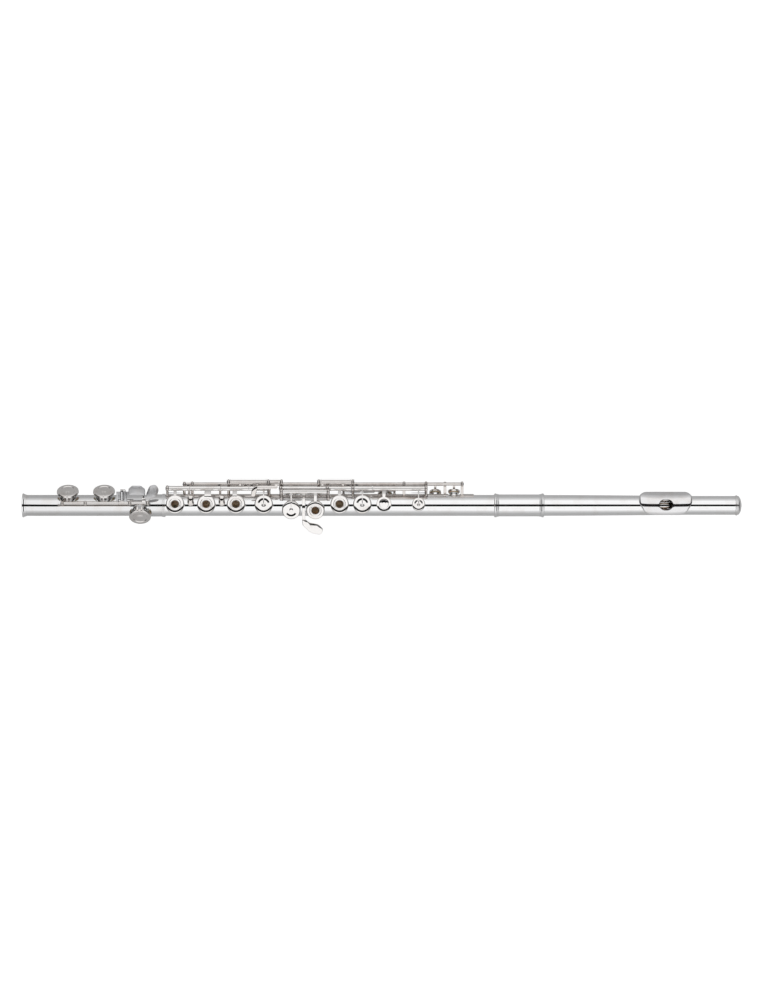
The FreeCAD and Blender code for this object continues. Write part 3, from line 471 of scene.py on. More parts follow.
foot_tube_silver = silver("foot tube silver", (0.8, 0.8, 0.805), tarnish=0.14, hairlines=0.14)
FOOT_HOLES = ((middle_x("foot_c_pad"), 64.0, 8.0), (middle_x("foot_c_sharp_pad"), 64.0, 8.0),
              (middle_x("foot_d_sharp_pad"), -50.0, 8.0))
SOCKET_X = 121.0
SOCKET_R = 10.5
SOCKET_STEP = 0.6
foot_end = ends_x("foot_tube")[1]
foot_shells = [welded(drawn_tube(0.0, SOCKET_X - SOCKET_STEP, FOOT_HOLES)),
               sleeve(SOCKET_X - SOCKET_STEP, SOCKET_X, SOCKET_R, BORE_R, edge=0.05, steps=96),
               sleeve(SOCKET_X, foot_end, SOCKET_R, TUBE_R + 0.05, steps=96)]
make_piece("foot_tube_drawn", foot_shells, "foot_joint", foot_tube_silver, ["foot_tube"])

# ==== foot rings
# Two turned rings are soldered on the foot: a flared one that guards the open end, and a plain
# one that stiffens the mouth of the socket.
ring_silver = silver("ring silver", (0.88, 0.88, 0.885), tarnish=0.16, hairlines=0.12)
END_RING = 11.35
end_ring = [(0.0, TUBE_R, 0.03), (0.0, END_RING, 0.45), (1.3, END_RING, 0.3), (2.1, 10.7, 0.4),
            (3.8, 10.25, 0.15), (3.8, TUBE_R, 0.0)]
mouth_ring = [(foot_end - back, r, soft) for back, r, soft in (
    (2.7, SOCKET_R, 0), (2.7, 11.05, 0.25), (1.9, 11.1, 0.2), (1.6, 10.85, 0.15), (1.1, 10.85, 0.15),
    (0.9, 11.1, 0.2), (0, 11.1, 0.3), (0, SOCKET_R, 0))]
make_piece("foot_rings_turned", [turned(rounded(ring)) for ring in (end_ring, mouth_ring)],
           "foot_joint", ring_silver, ["foot_rings"])


# ==== foot rib, posts and steel
# The posts stand on a thin curved strap that is soldered along the tube. Each is turned with a
# flared foot, a slim stem and a flattened ball that is drilled for the hinge steel.
RIB_TOP = 10.8
POST_HALF = 1.3
post_silver = silver("post silver", (0.71, 0.67, 0.645), tarnish=0.34, hairlines=0.16,
                     warm=(0.4, 0.31, 0.26))
steel_grey = silver("hinge steel", (0.62, 0.62, 0.64), tarnish=0.3, hairlines=0.5,
                    warm=(0.34, 0.28, 0.24))


def looped(loops, closed=False):
    """A shell from loops of points, each bridged to the next."""
    n = len(loops[0])
    faces = []
    for i in range(len(loops) if closed else len(loops) - 1):
        a, b = i * n, ((i + 1) % len(loops)) * n
        faces += [[a + k, a + (k + 1) % n, b + (k + 1) % n, b + k] for k in range(n)]
    return [p for loop in loops for p in loop], faces


def strap(x0, x1, a0, a1):
    """A thin curved strap on the tube, with softened edges."""
    soft = 0.22
    across = [(TUBE_R, 0.0), (RIB_TOP - soft, 0.0), (RIB_TOP - soft * 0.3, soft * 0.3), (RIB_TOP, soft)]
    steps = max(3, round((a1 - a0) / 4))
    section = [(radius, a0 + math.degrees(inset / RIB_TOP)) for radius, inset in across]
    section += [(RIB_TOP, a0 + (a1 - a0) * k / steps) for k in range(1, steps)]
    section += [(radius, a1 - math.degrees(inset / RIB_TOP)) for radius, inset in across[::-1]]
    loops = [[(x, *on_tube(max(TUBE_R, radius - drop), angle)) for radius, angle in section]
             for x, drop in ((x0, soft), (x0 + soft * 0.3, soft * 0.3), (x0 + soft, 0.0),
                             (x1 - soft, 0.0), (x1 - soft * 0.3, soft * 0.3), (x1, soft))]
    verts, faces = looped(loops)
    n = len(section)
    return verts, faces + [list(range(n)), list(range(len(verts) - n, len(verts)))[::-1]]


def rod_line(joint):
    """(Y, Z) of a joint's axis, in mm."""
    _, y, z = joints[joint]["pos_m"]
    return y / MM, z / MM


def seat(x, angle):
    """From a place on top of the tube at X = 0 to x and an angle round the tube."""
    return Matrix.Translation((x, 0, 0)) @ Matrix.Rotation(math.radians(-angle), 4, "X")


def post(x, line, ball=2.5, stem=1.1, base=RIB_TOP):
    """A turned post with its flattened ball."""
    radius = math.hypot(*line)
    angle = math.degrees(math.atan2(line[0], line[1]))
    low = base - 0.25
    shaft = spun(rounded([(0, low, 0), (1.9, low, 0), (1.9, base + 0.45, 0.2), (stem + 0.1, base + 0.8, 0.5),
                          (stem, radius - 1.0, 0), (0, radius - 1.0, 0)], False, 5), circle(28))
    side = [(-POST_HALF, 0, 0), (-POST_HALF, ball - 0.35, 0.35), (-0.45, ball, 0.5)]
    ball_profile = side + [(-a, r, soft) for a, r, soft in side[::-1]]
    head = turned(rounded([(x + a, r, soft) for a, r, soft in ball_profile], False, 4), line, False, 36)
    return [placed(shaft, seat(x, angle)), head]


FOOT_LINE = rod_line("foot_c_close")
first_post, last_post = ends_x("foot_posts")
FOOT_POSTS = (first_post + 1.2, middle_x("foot_c_pad") + 16.9, last_post - 18.0, last_post - 1.2)
rib_start, rib_end = ends_x("foot_rib")
C_X, C_SHARP_X, D_SHARP_X = (hole[0] for hole in FOOT_HOLES)
C_GAP = 8.7     # from the middle of a tone hole to the strap beside it
rib_pieces = [strap(rib_start, C_X - C_GAP + 2, -6, 4), strap(rib_start, D_SHARP_X - C_GAP - 0.6, -6, 3),
              strap(C_X + C_GAP, C_SHARP_X - C_GAP, -5, 24),
              strap(C_SHARP_X + C_GAP, D_SHARP_X - C_GAP - 0.6, -5, 24),
              strap(D_SHARP_X - C_GAP - 0.8, rib_end, 11, 24)]
make_piece("foot_rib_strap", rib_pieces, "foot_joint", post_silver, ["foot_rib"])
make_piece("foot_posts_turned", [s for x in FOOT_POSTS for s in post(x, FOOT_LINE, 2.2, 1.3)],
           "foot_joint", post_silver, ["foot_posts"])
CORE_R = 0.95
steel_start, steel_end = ends_x("foot_steel")
make_piece("foot_steel_pin", [rod(steel_start, steel_end + 0.3, CORE_R, FOOT_LINE)],
           "foot_joint", steel_grey, ["foot_steel"])


# ==== pads
# A pad is a felt ring on a card, wrapped in two layers of tan fish skin. It is glued or shimmed
# into its cup, and the skin shows as a thin honey-coloured edge between cup and tone hole.
CUP_RIM = 12.75
CUP_TOP = 15.1
PAD_LOW = 12.2
PAD_TOP = 14.05
SHEET = 0.6
FINGER_HOLE = 3.7


def make_skin():
    material, tree, shader = new_material("pad skin")
    place = own_axes(tree)
    blotch = ramp_between(tree, noise(tree, place, 700.0, 4.0), 0.35, 0.7)
    colour = blend_colours(tree, blotch, (0.84, 0.7, 0.46, 1.0), (0.58, 0.44, 0.26, 1.0))
    tree.links.new(colour, shader.inputs["Base Color"])
    tree.links.new(ramp_between(tree, blotch, 0.0, 1.0, 0.28, 0.45), shader.inputs["Roughness"])
    dimpled(tree, shader, noise(tree, place, 2200.0, 3.0), 0.5, 0.00008)
    shader.inputs["Subsurface Weight"].default_value = 0.15
    shader.inputs["Subsurface Scale"].default_value = 0.0005
    return material


pad_skin = make_skin()


def swung(line, degrees):
    """A turn about a rod line by the right-hand rule about +X."""
    there = Matrix.Translation((0, line[0], line[1]))
    return there @ Matrix.Rotation(math.radians(degrees), 4, "X") @ there.inverted()


def pad_shell(radius, ring):
    """A wrapped pad, with a shallow ring pressed into it by its tone hole."""
    edge = radius - SHEET - 0.06
    inner = FINGER_HOLE + 0.52 if ring else 0.0
    crease = radius - 1.5
    section = [(inner, PAD_LOW, 0), (crease - 0.5, PAD_LOW, 0.1), (crease, PAD_LOW + 0.07, 0.1),
               (crease + 0.35, PAD_LOW, 0.08), (edge, PAD_LOW + 0.02, 0.5), (edge, PAD_TOP, 0),
               (inner, PAD_TOP, 0)]
    return spun(rounded(section, ring, 5), circle(56), ring)


def make_pad(name, cups, line, turn):
    """The pads of one key, from its cup specs."""
    shells = [placed(pad_shell(radius, ring), swung(line, turn) @ seat(x, angle))
              for x, angle, radius, ring, *_ in cups]
    make_piece(name + "_pad_skin", shells, name, pad_skin, [name + "_pad"], 50)


# ==== cups and arms
# Cups are pressed from silver sheet with a stepped top. Players cover the open ones with a finger,
# the plain ones are moved by a neighbour. The arms are forged, taper to a point over the plain
# cups, and are soldered to the cup and to the hinge tube.
key_silver = silver("key silver", (0.885, 0.865, 0.852), tarnish=0.16, hairlines=0.12,
                    warm=(0.5, 0.4, 0.32))
HINGE_R = 2.3
STEEL_BORE = 1.1
CUP_SIZE = 8.7      # radius of the stack cups, which the other sizes of cup are scaled from
CUP_STEP_R = 5.8    # where the stepped top starts to fall away
CUP_FLOOR = PAD_TOP + 0.06


def cup_outside(radius):
    """The shoulder that falls away gently and then faster, the side and the hollow of a cup."""
    k = radius / CUP_SIZE
    dome = []
    for t in range(1, 11):
        out = CUP_STEP_R + 0.27 * t
        drop = 0.055 * (out - 5.6) ** 2 + 0.26 * max(0.0, out - 7.7) ** 2
        dome.append((out * k, CUP_TOP - drop * k, 0))
    return dome + [(radius - 0.05, CUP_TOP - 0.98, 0), (radius, CUP_TOP - 1.25, 0),
                   (radius + 0.1, CUP_RIM + 0.12, 0.1), (radius, CUP_RIM, 0.1),
                   (radius - SHEET, CUP_RIM, 0.08), (radius - SHEET, CUP_FLOOR, 0.1)]


def plain_cup(radius, depth=0.36, ramp=1.8, boss=1.0):
    """A cup whose top is sunk round a low boss; depth and ramp shape the step."""
    k = radius / CUP_SIZE
    floor = CUP_TOP - depth
    b = k * boss
    soft = k / boss
    top = [(0, CUP_TOP + 0.05, 0), (b, CUP_TOP, 2.2 * soft), (2 * b, floor + 0.05, 0.9 * soft),
           (2.5 * b, floor, 0.8 * soft), ((CUP_STEP_R - ramp) * k, floor, 0.7 * soft),
           (CUP_STEP_R * k, CUP_TOP, 0.7 * soft)]
    return spun(rounded(top + cup_outside(radius) + [(0, CUP_FLOOR, 0)], False, 6), circle(72))


def open_cup(radius):
    k = radius / CUP_SIZE
    lip = FINGER_HOLE + 0.45
    top = [(FINGER_HOLE, 12.6, 0.08), (FINGER_HOLE, CUP_TOP - 0.12, 0.3), (lip + 0.1, CUP_TOP - 0.12, 0.3),
           (lip + 0.5, CUP_TOP - 0.3, 0.3), (5.45 * k, CUP_TOP - 0.3, 0.15),
           (CUP_STEP_R * k, CUP_TOP, 0.15)]
    hollow = [(lip, CUP_FLOOR, 0.1), (lip, 12.6, 0.08)]
    return spun(rounded(top + cup_outside(radius) + hollow, True, 6), circle(72), True)


def seen_from(line, angle):
    """A rod line's (y, z) in the frame where the given angle is on top."""
    a = math.radians(angle)
    y, z = line
    return y * math.cos(a) - z * math.sin(a), y * math.sin(a) + z * math.cos(a)


def smooth_path(points, spans=5):
    """Catmull-Rom points through the given ones."""
    made = []
    last = len(points) - 1
    for i in range(last):
        p = [Vector(points[max(0, min(last, i + k))]) for k in (-1, 0, 1, 2)]
        for k in range(spans):
            t = k / spans
            made.append(tuple(0.5 * (2 * p[1] + (p[2] - p[0]) * t
                                     + (2 * p[0] - 5 * p[1] + 4 * p[2] - p[3]) * t * t
                                     + (3 * p[1] - p[0] - 3 * p[2] + p[3]) * t ** 3)))
    made.append(tuple(points[-1]))
    return made


ALONG = (1, 0, 0)
AGAINST = (-1, 0, 0)


def forged(points, widths, thickness, side=ALONG, crown=0.25, spans=5):
    """A forged bar along 3D points, with a crowned top. Widths go with the points."""
    path = smooth_path(points, spans)
    wide = smooth_path([(w, 0.0, 0.0) for w in widths], spans)
    side = Vector(side).normalized()
    last = len(path) - 1
    half = thickness / 2
    loops = []
    for i in range(-1, last + 2):
        k = min(max(i, 0), last)
        here = Vector(path[k])
        ahead = (Vector(path[min(k + 1, last)]) - Vector(path[max(k - 1, 0)])).normalized()
        up = ahead.cross(side).normalized()
        w = max(0.12, wide[k][0] / 2)
        squeeze = 1.0
        if i != k:
            squeeze = 0.72
            here = here + ahead * (0.12 if i > last else -0.12)
        soft = min(0.3, w * 0.5)
        section = rounded([(-w, -half, soft * 0.6), (w, -half, soft * 0.6), (w, half - crown * 0.5, soft),
                           (0, half + crown * 0.4, w * 0.8), (-w, half - crown * 0.5, soft)], True, 3)
        loops.append([tuple(here + side * (a * squeeze) + up * (b * squeeze)) for a, b in section])
    verts, faces = looped(loops)
    n = len(loops[0])
    return verts, faces + [list(range(n))[::-1], list(range(len(verts) - n, len(verts)))]


def pointed_arm(x, angle, radius, line, width):
    """From the hinge tube over the cup's shoulder, tapering to the middle of the cup."""
    y, z = seen_from(line, angle)
    s = 1 if y > 0 else -1
    points = [(0, y - s * 0.7, z + 1.0), (0, (y + s * radius) / 2 + s * 0.3, (z + 15.6) / 2 + 0.9),
              (0, s * (radius - 0.2), 15.2), (0, s * radius * 0.55, 15.5), (0, s * 0.3, 15.25)]
    bar = forged(points, [width * 0.8, width * 0.5, width * 0.36, width * 0.26, 0.4], 1.0, (-s, 0, 0))
    return placed(bar, seat(x, angle))


def side_arm(x, angle, radius, line, width, shift):
    """From the hinge tube to the shoulder of an open cup."""
    y, z = seen_from(line, angle)
    s = 1 if y > 0 else -1
    end = s * (math.sqrt(radius ** 2 - (abs(shift) + width / 2) ** 2) - 0.35)
    points = [(shift, y - s * 0.7, z + 1.0), (shift, (y + s * radius) / 2 + s * 0.4, (z + 14.4) / 2 + 1.0),
              (shift, s * (radius + 0.3), 14.5), (shift, end, 14.62)]
    bar = forged(points, [width * 1.1, width * 0.96, width, width], 0.95, (-s, 0, 0))
    return placed(bar, seat(x, angle))


def cup_and_arm(spec, line, step=()):
    """A cup spec is (x, angle, radius, ring, arm width, arm shift)."""
    x, angle, radius, ring, width, shift = spec
    if ring:
        return [placed(open_cup(radius), seat(x, angle)), side_arm(x, angle, radius, line, width, shift)]
    return [placed(plain_cup(radius, *step), seat(x, angle)), pointed_arm(x, angle, radius, line, width)]


def clutch(x, line, toward, reach):
    """A flat lug that stands off a hinge tube towards the next line."""
    y0, z0 = line
    away = Vector((toward[0] - y0, toward[1] - z0)).normalized() * reach
    points = [(x, y0 + away.x * t, z0 + away.y * t) for t in (0.3, 0.65, 1.0)]
    return forged(points, [2.4] * 3, 1.1, ALONG, 0.1, 2)


def outline_plate(corners, low, high, edge=0.4, crown=0.25, centre=None):
    """A touch plate from plan corners (x, y, radius): softened edges and a slightly crowned top."""
    plan = rounded(corners, True, 7)
    cx, cy = centre or (sum(p[0] for p in plan) / len(plan), sum(p[1] for p in plan) / len(plan))
    size = min(math.hypot(x - cx, y - cy) for x, y in plan)
    e = edge / size
    profile = [(0.0, low), (0.5, low), (1 - (edge + 0.2) / size * 0.9, low), (1 - e * 0.6, low),
               (1 - e * 0.15, low + edge * 0.3), (1.0, low + edge * 0.8), (1.0, high - edge),
               (1 - e * 0.15, high - edge * 0.45), (1 - e * 0.5, high - edge * 0.15), (1 - e, high)]
    profile += [(t, high + crown * (1 - t * t)) for t in (0.75, 0.55, 0.35, 0.15)]
    profile.append((0.0, high + crown))
    return spun(profile, plan, False, (cx, cy))


def tipped(shell, line, degrees):
    """A shell turned about a line along the flute, such as a touch that slopes away."""
    return placed(shell, swung(line, -degrees))


def at_rest(shells, line, turn):
    """A key's shells turned to its rest opening."""
    return [placed(shell, swung(line, turn)) for shell in shells]


def make_key(name, shells, line, turn, material=key_silver):
    """A key's silverwork, on the body that has its name."""
    make_piece(name + "_work", at_rest(shells, line, turn), name, material, [name + "_key"])


# ==== foot keys
# The C and C sharp cups stay open and are closed by the little finger on the touches at the right.
# A roller on the C touch lets the finger slide across. D sharp stays shut over a hole at the front.
FOOT_TUBE_R = 1.6
FOOT_STOP = 1.4     # from a post's middle to the end of the hinge tube beside it
HALF_GAP = 0.15     # half the play between two tubes that meet
C_JOIN = 91.45      # where the C sharp key's tube meets the C key's
REST_OPEN = 8.5
FOOT_CUP_R = 10.3
C_CUP, C_SHARP_CUP, D_SHARP_CUP = ((x, angle, FOOT_CUP_R, False, 3.0, 0.0) for x, angle, _ in FOOT_HOLES)
ROLLER_X = middle_x("c_roller")
ROLLER_Z = 13.9
FOOT_STEP = (0.5, 0.6, 1.55)
foot_silver = silver("foot key silver", (0.79, 0.765, 0.75), tarnish=0.24, hairlines=0.2,
                     warm=(0.48, 0.39, 0.33))


def along_y(shell, x, y, z):
    """A shell spun about Z laid along Y instead, starting at (x, y, z)."""
    return placed(shell, Matrix.Translation((x, y, z)) @ Matrix.Rotation(math.radians(-90), 4, "X"))


def cut_bar(x0, x1, y0, y1, low, high, edge=0.3):
    """A straight bar with softened edges."""
    return outline_plate([(x0, y0, edge), (x1, y0, edge), (x1, y1, edge), (x0, y1, edge)], low, high,
                         edge * 0.6, 0.03)


satin = silver("satin silver", (0.66, 0.66, 0.67), tarnish=0.2, hairlines=0.5, base_rough=0.3)

p0, p1, p2, p3 = FOOT_POSTS
c_touch = outline_plate([(96.5, 2.6, 0.4), (100.2, 2.6, 0.8), (99.4, 6.0, 2.0), (98.5, 14.4, 0.8),
                         (97.4, 15.4, 0.5), (96.5, 14.6, 0.4)], 13.4, 14.4, 0.35, 0.6)
make_piece("foot_c_touch", at_rest([c_touch], FOOT_LINE, REST_OPEN), "foot_c", satin)
c_key = [rod(p0 - 1.3, p2 + 1.3, CORE_R, FOOT_LINE),
         sleeve(p0 + FOOT_STOP, p1 - FOOT_STOP, FOOT_TUBE_R, CORE_R, FOOT_LINE),
         sleeve(C_JOIN + HALF_GAP, p2 - FOOT_STOP, FOOT_TUBE_R, CORE_R, FOOT_LINE)]
c_key += cup_and_arm(C_CUP, FOOT_LINE, FOOT_STEP)
c_key += [cut_bar(93.2, 96.6, 2.4, 4.4, 12.9, 14.6), cut_bar(93.2, 96.6, 14.6, 15.4, 12.9, 14.6),
          cut_bar(96.3, 97.8, 13.6, 15.4, 12.9, 14.6)]
pin = spun(rounded([(0, 0, 0), (0.6, 0, 0.1), (0.6, 11.4, 0.1), (0, 11.4, 0)], False, 3), circle(24))
c_key.append(along_y(pin, ROLLER_X, 3.6, ROLLER_Z))
make_key("foot_c", c_key, FOOT_LINE, REST_OPEN, foot_silver)
barrel_roll = spun(rounded([(0.66, 0, 0), (1.3, 0, 0.2), (1.5, 1.2, 0.6), (1.55, 4.95, 2.0), (1.5, 8.7, 0.6),
                            (1.3, 9.9, 0.2), (0.66, 9.9, 0)], True, 4), circle(32), True)
roller = along_y(barrel_roll, ROLLER_X, 4.55, ROLLER_Z)
roller_silver = silver("roller silver", (0.78, 0.78, 0.79), tarnish=0.2, hairlines=0.3)
make_piece("roller_turned", at_rest([roller], FOOT_LINE, REST_OPEN), "roller", roller_silver,
           ["c_roller"])

c_sharp_key = [sleeve(p1 + FOOT_STOP, C_JOIN - HALF_GAP, FOOT_TUBE_R, CORE_R + 0.05, FOOT_LINE)]
c_sharp_key += cup_and_arm(C_SHARP_CUP, FOOT_LINE, FOOT_STEP)
c_sharp_key.append(cut_bar(101.6, 104.8, 10.4, 12.4, 8.6, 12.9))
make_key("foot_c_sharp", c_sharp_key, FOOT_LINE, REST_OPEN, foot_silver)
c_sharp_touch = [
    outline_plate([(101.0, 9.6, 0.8), (116.8, 9.6, 0.9), (116.8, 15.6, 3.6), (112.6, 18.7, 3.0),
                   (104.4, 18.7, 2.6), (101.0, 15.6, 2.4)], 12.4, 13.7, 0.5, 0.6),
    forged([(90.3, 3.0, 12.9), (90.3, 6.0, 11.8), (90.3, 9.4, 9.9), (90.3, 11.2, 8.9)], [1.8] * 4, 1.3),
    cut_bar(89.3, 104.8, 9.4, 12.4, 8.5, 9.8)]
make_piece("foot_c_sharp_touch", at_rest(c_sharp_touch, FOOT_LINE, REST_OPEN), "foot_c_sharp", satin)

x, angle, radius = D_SHARP_CUP[:3]
y, z = seen_from(FOOT_LINE, angle)
d_sharp_key = [sleeve(p2 + FOOT_STOP, p3 - FOOT_STOP, FOOT_TUBE_R, CORE_R + 0.05, FOOT_LINE),
               placed(plain_cup(radius, *FOOT_STEP), seat(x, angle))]
for shift in (-2.0, 2.0):
    twig = [(shift, y - 0.5, z + 0.9), (shift, (y + radius) / 2 + 0.5, (z + 15.4) / 2 + 0.9),
            (shift, radius - 0.3, 15.3), (shift, radius * 0.72, 15.35)]
    d_sharp_key.append(placed(forged(twig, [1.4] * 4, 1.0, AGAINST), seat(x, angle)))
d_sharp_key.append(forged([(115.3, 2.6, 14.4), (115.3, 4.6, 15.2), (115.6, 7.0, 15.0), (116.4, 8.8, 14.9)],
                          [3.4, 3.4, 3.6, 4.0], 1.1))
make_key("foot_d_sharp", d_sharp_key, FOOT_LINE, 0.0, foot_silver)
d_sharp_touch = outline_plate([(113.8, 5.4, 1.0), (120.8, 5.4, 3.2), (127.6, 8.4, 6.0), (129.8, 15.2, 5.0),
                               (126.4, 20.0, 3.4), (120.8, 18.4, 4.0), (117.9, 11.4, 5.0), (117.6, 8.5, 0.8),
                               (113.8, 8.5, 0.8)], 14.2, 15.3, 0.6, 1.0, (122.6, 12.0))
make_piece("foot_d_sharp_touch", [d_sharp_touch], "foot_d_sharp", satin)
for name, cup, turn in (("foot_c", C_CUP, REST_OPEN), ("foot_c_sharp", C_SHARP_CUP, REST_OPEN),
                        ("foot_d_sharp", D_SHARP_CUP, 0.0)):
    make_pad(name, [cup], FOOT_LINE, turn)


# ==== body tube, barrel and its rings
# The body is one drawn tube with every tone hole from D to the trills. The thicker barrel is
# soldered over its upper end and takes the head; a moulded ring finishes each end of it.
tube_silver = silver("tube silver", (0.9, 0.9, 0.905), tarnish=0.1, hairlines=0.1)
G_PAD_R = 8.05
g_pads_start, g_pads_end = ends_x("g_pad")
CUPS = {
    "d": (middle_x("d_pad"), 0.0, 8.7, True, 3.0, 0.0),
    "e": (middle_x("e_pad"), 0.0, 8.7, True, 6.4, 1.4),
    "f": (middle_x("f_pad"), 0.0, 8.7, True, 4.4, -1.2),
    "f_sharp": (middle_x("f_sharp_pad"), 0.0, 8.7, False, 3.0, 0.0),
    "low_g": (g_pads_start + G_PAD_R, -20.0, 8.7, False, 3.0, 0.0),
    "g": (g_pads_end - G_PAD_R, -20.0, 8.7, True, 3.0, 0.0),
    "g_sharp": (middle_x("g_sharp_pad"), 110.0, 8.0, False, 3.0, 0.0),
    "a": (middle_x("a_pad"), 0.0, 8.7, True, 3.0, 0.0),
    "b_flat": (middle_x("b_flat_pad"), 0.0, 8.7, False, 3.0, 0.0),
    "thumb": (middle_x("thumb_b_pad"), 145.0, 7.5, False, 3.0, 0.0),
    "c_sharp": (middle_x("index_pad"), 0.0, 6.25, False, 2.4, 0.0),
    "trill_d": (middle_x("trill_d_pad"), 116.0, 5.6, False, 2.2, 0.0),
    "trill_d_sharp": (middle_x("trill_d_sharp_pad"), 104.0, 5.6, False, 2.2, 0.0),
}
HOLE_RADII = {"d": 7.2, "e": 7.2, "f": 7.2, "f_sharp": 7.2, "low_g": 7.1, "g": 7.1, "g_sharp": 6.6,
              "a": 6.9, "b_flat": 6.7, "thumb": 6.2, "c_sharp": 3.9, "trill_d": 4.0, "trill_d_sharp": 4.0}
body_holes = [(*cup[:2], HOLE_RADII[key]) for key, cup in CUPS.items()]
body_tube = make_piece("body_tube_drawn", [welded(drawn_tube(*ends_x("body_tube"), body_holes))],
                       "flute_body", tube_silver, ["body_tube"])
dark_bore = silver("unpolished bore", (0.93, 0.77, 0.6), tarnish=0.4, hairlines=0.5,
                   warm=(0.66, 0.5, 0.36), base_rough=0.3)
body_tube.data.materials.append(dark_bore)
for face in body_tube.data.polygons:
    if math.hypot(face.center.y, face.center.z) < (BORE_R + 0.1) * MM:
        face.material_index = 1

BARREL_R = 10.35
b0, b1 = ends_x("barrel")
barrel = [(b0, TUBE_R, 0), (b0, BARREL_R, 0.1), (b1, BARREL_R, 0.1), (b1, TUBE_R + 0.05, 0)]
make_piece("barrel_turned", [turned(rounded(barrel))], "flute_body", tube_silver, ["barrel"])


def barrel_ring(start, way):
    profile = [(0.0, BARREL_R - 0.1, 0), (0.0, 10.6, 0.1), (0.75, 11.35, 0.25), (1.9, 11.35, 0.3),
               (2.95, 10.5, 0.2), (3.1, 10.5, 0.1), (3.5, 10.9, 0.15), (3.75, 10.9, 0.15),
               (4.4, BARREL_R + 0.02, 0.1), (4.4, BARREL_R - 0.1, 0)]
    return turned(rounded([(start + way * a, r, soft) for a, r, soft in profile], True, 4))


make_piece("barrel_rings_turned", [barrel_ring(b0, 1), barrel_ring(b1, -1)], "flute_body", ring_silver,
           ["barrel_rings"])


# ==== body ribs and posts
# Three curved straps carry the posts. Ball posts hold the main line, the G line and the thumb line;
# flat brackets carry the two trill rods and the bridge tubes beside the main line.
MAIN = rod_line("d_close")
G_LINE = rod_line("g_close")
THUMB_LINE = rod_line("thumb_b_close")
BRIDGE = rod_line("rh_bridge_turn")
TRILL_SHARP_LINE = rod_line("trill_d_sharp_open")
TRILL_LINE = rod_line("trill_d_open")
TRILL_R = 1.55
MAIN_POSTS = (137.2, 233.4, 288.2, 312.4, 381.5)
G_SHARP_POST = 244.2
G_POSTS = (244.9, 289.2)
THUMB_POSTS = (303.4, 351.6)
SHARP_POSTS = (160.6, 415.5)
PLAIN_POSTS = (152.9, 399.4)
TRILL_GUIDES = (360.6, 381.4)
BRIDGE_POSTS = (195.0, 232.6, 245.0, 280.2, 312.4)

RIBS = ((136.0, 246.4, 57, 98), (261.8, 331.2, 57, 98), (246.2, 262.0, 57, 61), (330.8, 381.0, 38, 98),
        (380.8, 385.1, 78, 98), (384.9, 395.5, 78, 84), (395.3, 402.8, 78, 98), (413.0, 426.5, 55, 98),
        (302.0, 335.2, 97, 116), (350.3, 354.0, 97, 116))     # from x to x, from angle to angle
make_piece("body_ribs_strap", [strap(*rib) for rib in RIBS], "flute_body", post_silver,
           ["body_ribs"])


def limb(x, start, end, thick, short=1.75):
    """A flat limb of a bracket, from one (y, z) to near another."""
    start, end = Vector(start), Vector(end)
    stop = end - (end - start).normalized() * short
    return forged([(x, *place) for place in (start, (start + stop) / 2, stop)], [2 * POST_HALF] * 3, thick,
                  ALONG, 1.2, 2)


def ball_eye(x, line, outer, inner):
    """A flattened ball, drilled through."""
    ball = rounded([(x - POST_HALF, inner, 0.1), (x - POST_HALF, outer - 0.7, 0.5), (x, outer, 1.2),
                    (x + POST_HALF, outer - 0.7, 0.5), (x + POST_HALF, inner, 0.1)], True, 5)
    return turned(ball, line, True, 36)


posts = []
for x in MAIN_POSTS + (G_SHARP_POST,):
    posts += post(x, MAIN, 2.85)
for x in G_POSTS:
    posts += post(x, G_LINE, base=TUBE_R)
for x in THUMB_POSTS:
    posts += post(x, THUMB_LINE, 2.1, 1.0)
TRILL_EYE = 2.7
TRILL_BORE = TRILL_R + 0.05
SHARP_FOOT = (10.0, 1.8)
PLAIN_FOOT = (9.6, -2.6)
BRIDGE_FOOT = (10.0, 1.3)
BRIDGE_ELBOW = (20.9, 6.3)
for x in (SHARP_POSTS[0],) + TRILL_GUIDES + (SHARP_POSTS[1],):
    posts += [limb(x, SHARP_FOOT, TRILL_SHARP_LINE, 3.2),
              ball_eye(x, TRILL_SHARP_LINE, TRILL_EYE, TRILL_BORE)]
for x in (SHARP_POSTS[0],) + TRILL_GUIDES + PLAIN_POSTS:
    posts += [limb(x, PLAIN_FOOT, TRILL_LINE, 2.8), ball_eye(x, TRILL_LINE, TRILL_EYE, TRILL_BORE)]
for x in BRIDGE_POSTS:
    posts += [limb(x, BRIDGE_FOOT, TRILL_SHARP_LINE, 3.4),
              sleeve(x - POST_HALF, x + POST_HALF, 2.1, TRILL_BORE, TRILL_SHARP_LINE, 0.25, 36),
              limb(x, BRIDGE_ELBOW, BRIDGE, 3.2, 1.4), ball_eye(x, BRIDGE, 2.85, 1.08)]
make_piece("body_posts_turned", posts, "flute_body", post_silver, ["body_posts"])


# ==== steels and needle springs
# Slim steel rods run through the hinge tubes, each with a slotted head at its post. Blued needle
# springs are driven into the posts and bear on the keys from behind.
def dress(node, material):
    """Give a CAD node its finish."""
    piece = frame["nodes"][node]
    piece.data.materials.clear()
    piece.data.materials.append(material)
    piece.data.shade_smooth()
    piece.data.set_sharp_from_angle(angle=math.radians(32))


blued = silver("blued spring steel", (0.16, 0.17, 0.24), tarnish=0.4, hairlines=0.3, warm=(0.2, 0.13, 0.1))
dress("body_steels", steel_grey)
dress("body_springs", blued)


# ==== right-hand keys and their bridge
# D, E and F are open cups for the right hand. F sharp is a plain cup that always goes down with F
# through the bridge tube behind, and the side lever works B flat from the same line.
STOP = 1.45     # from a post's middle to the end of the tube beside it


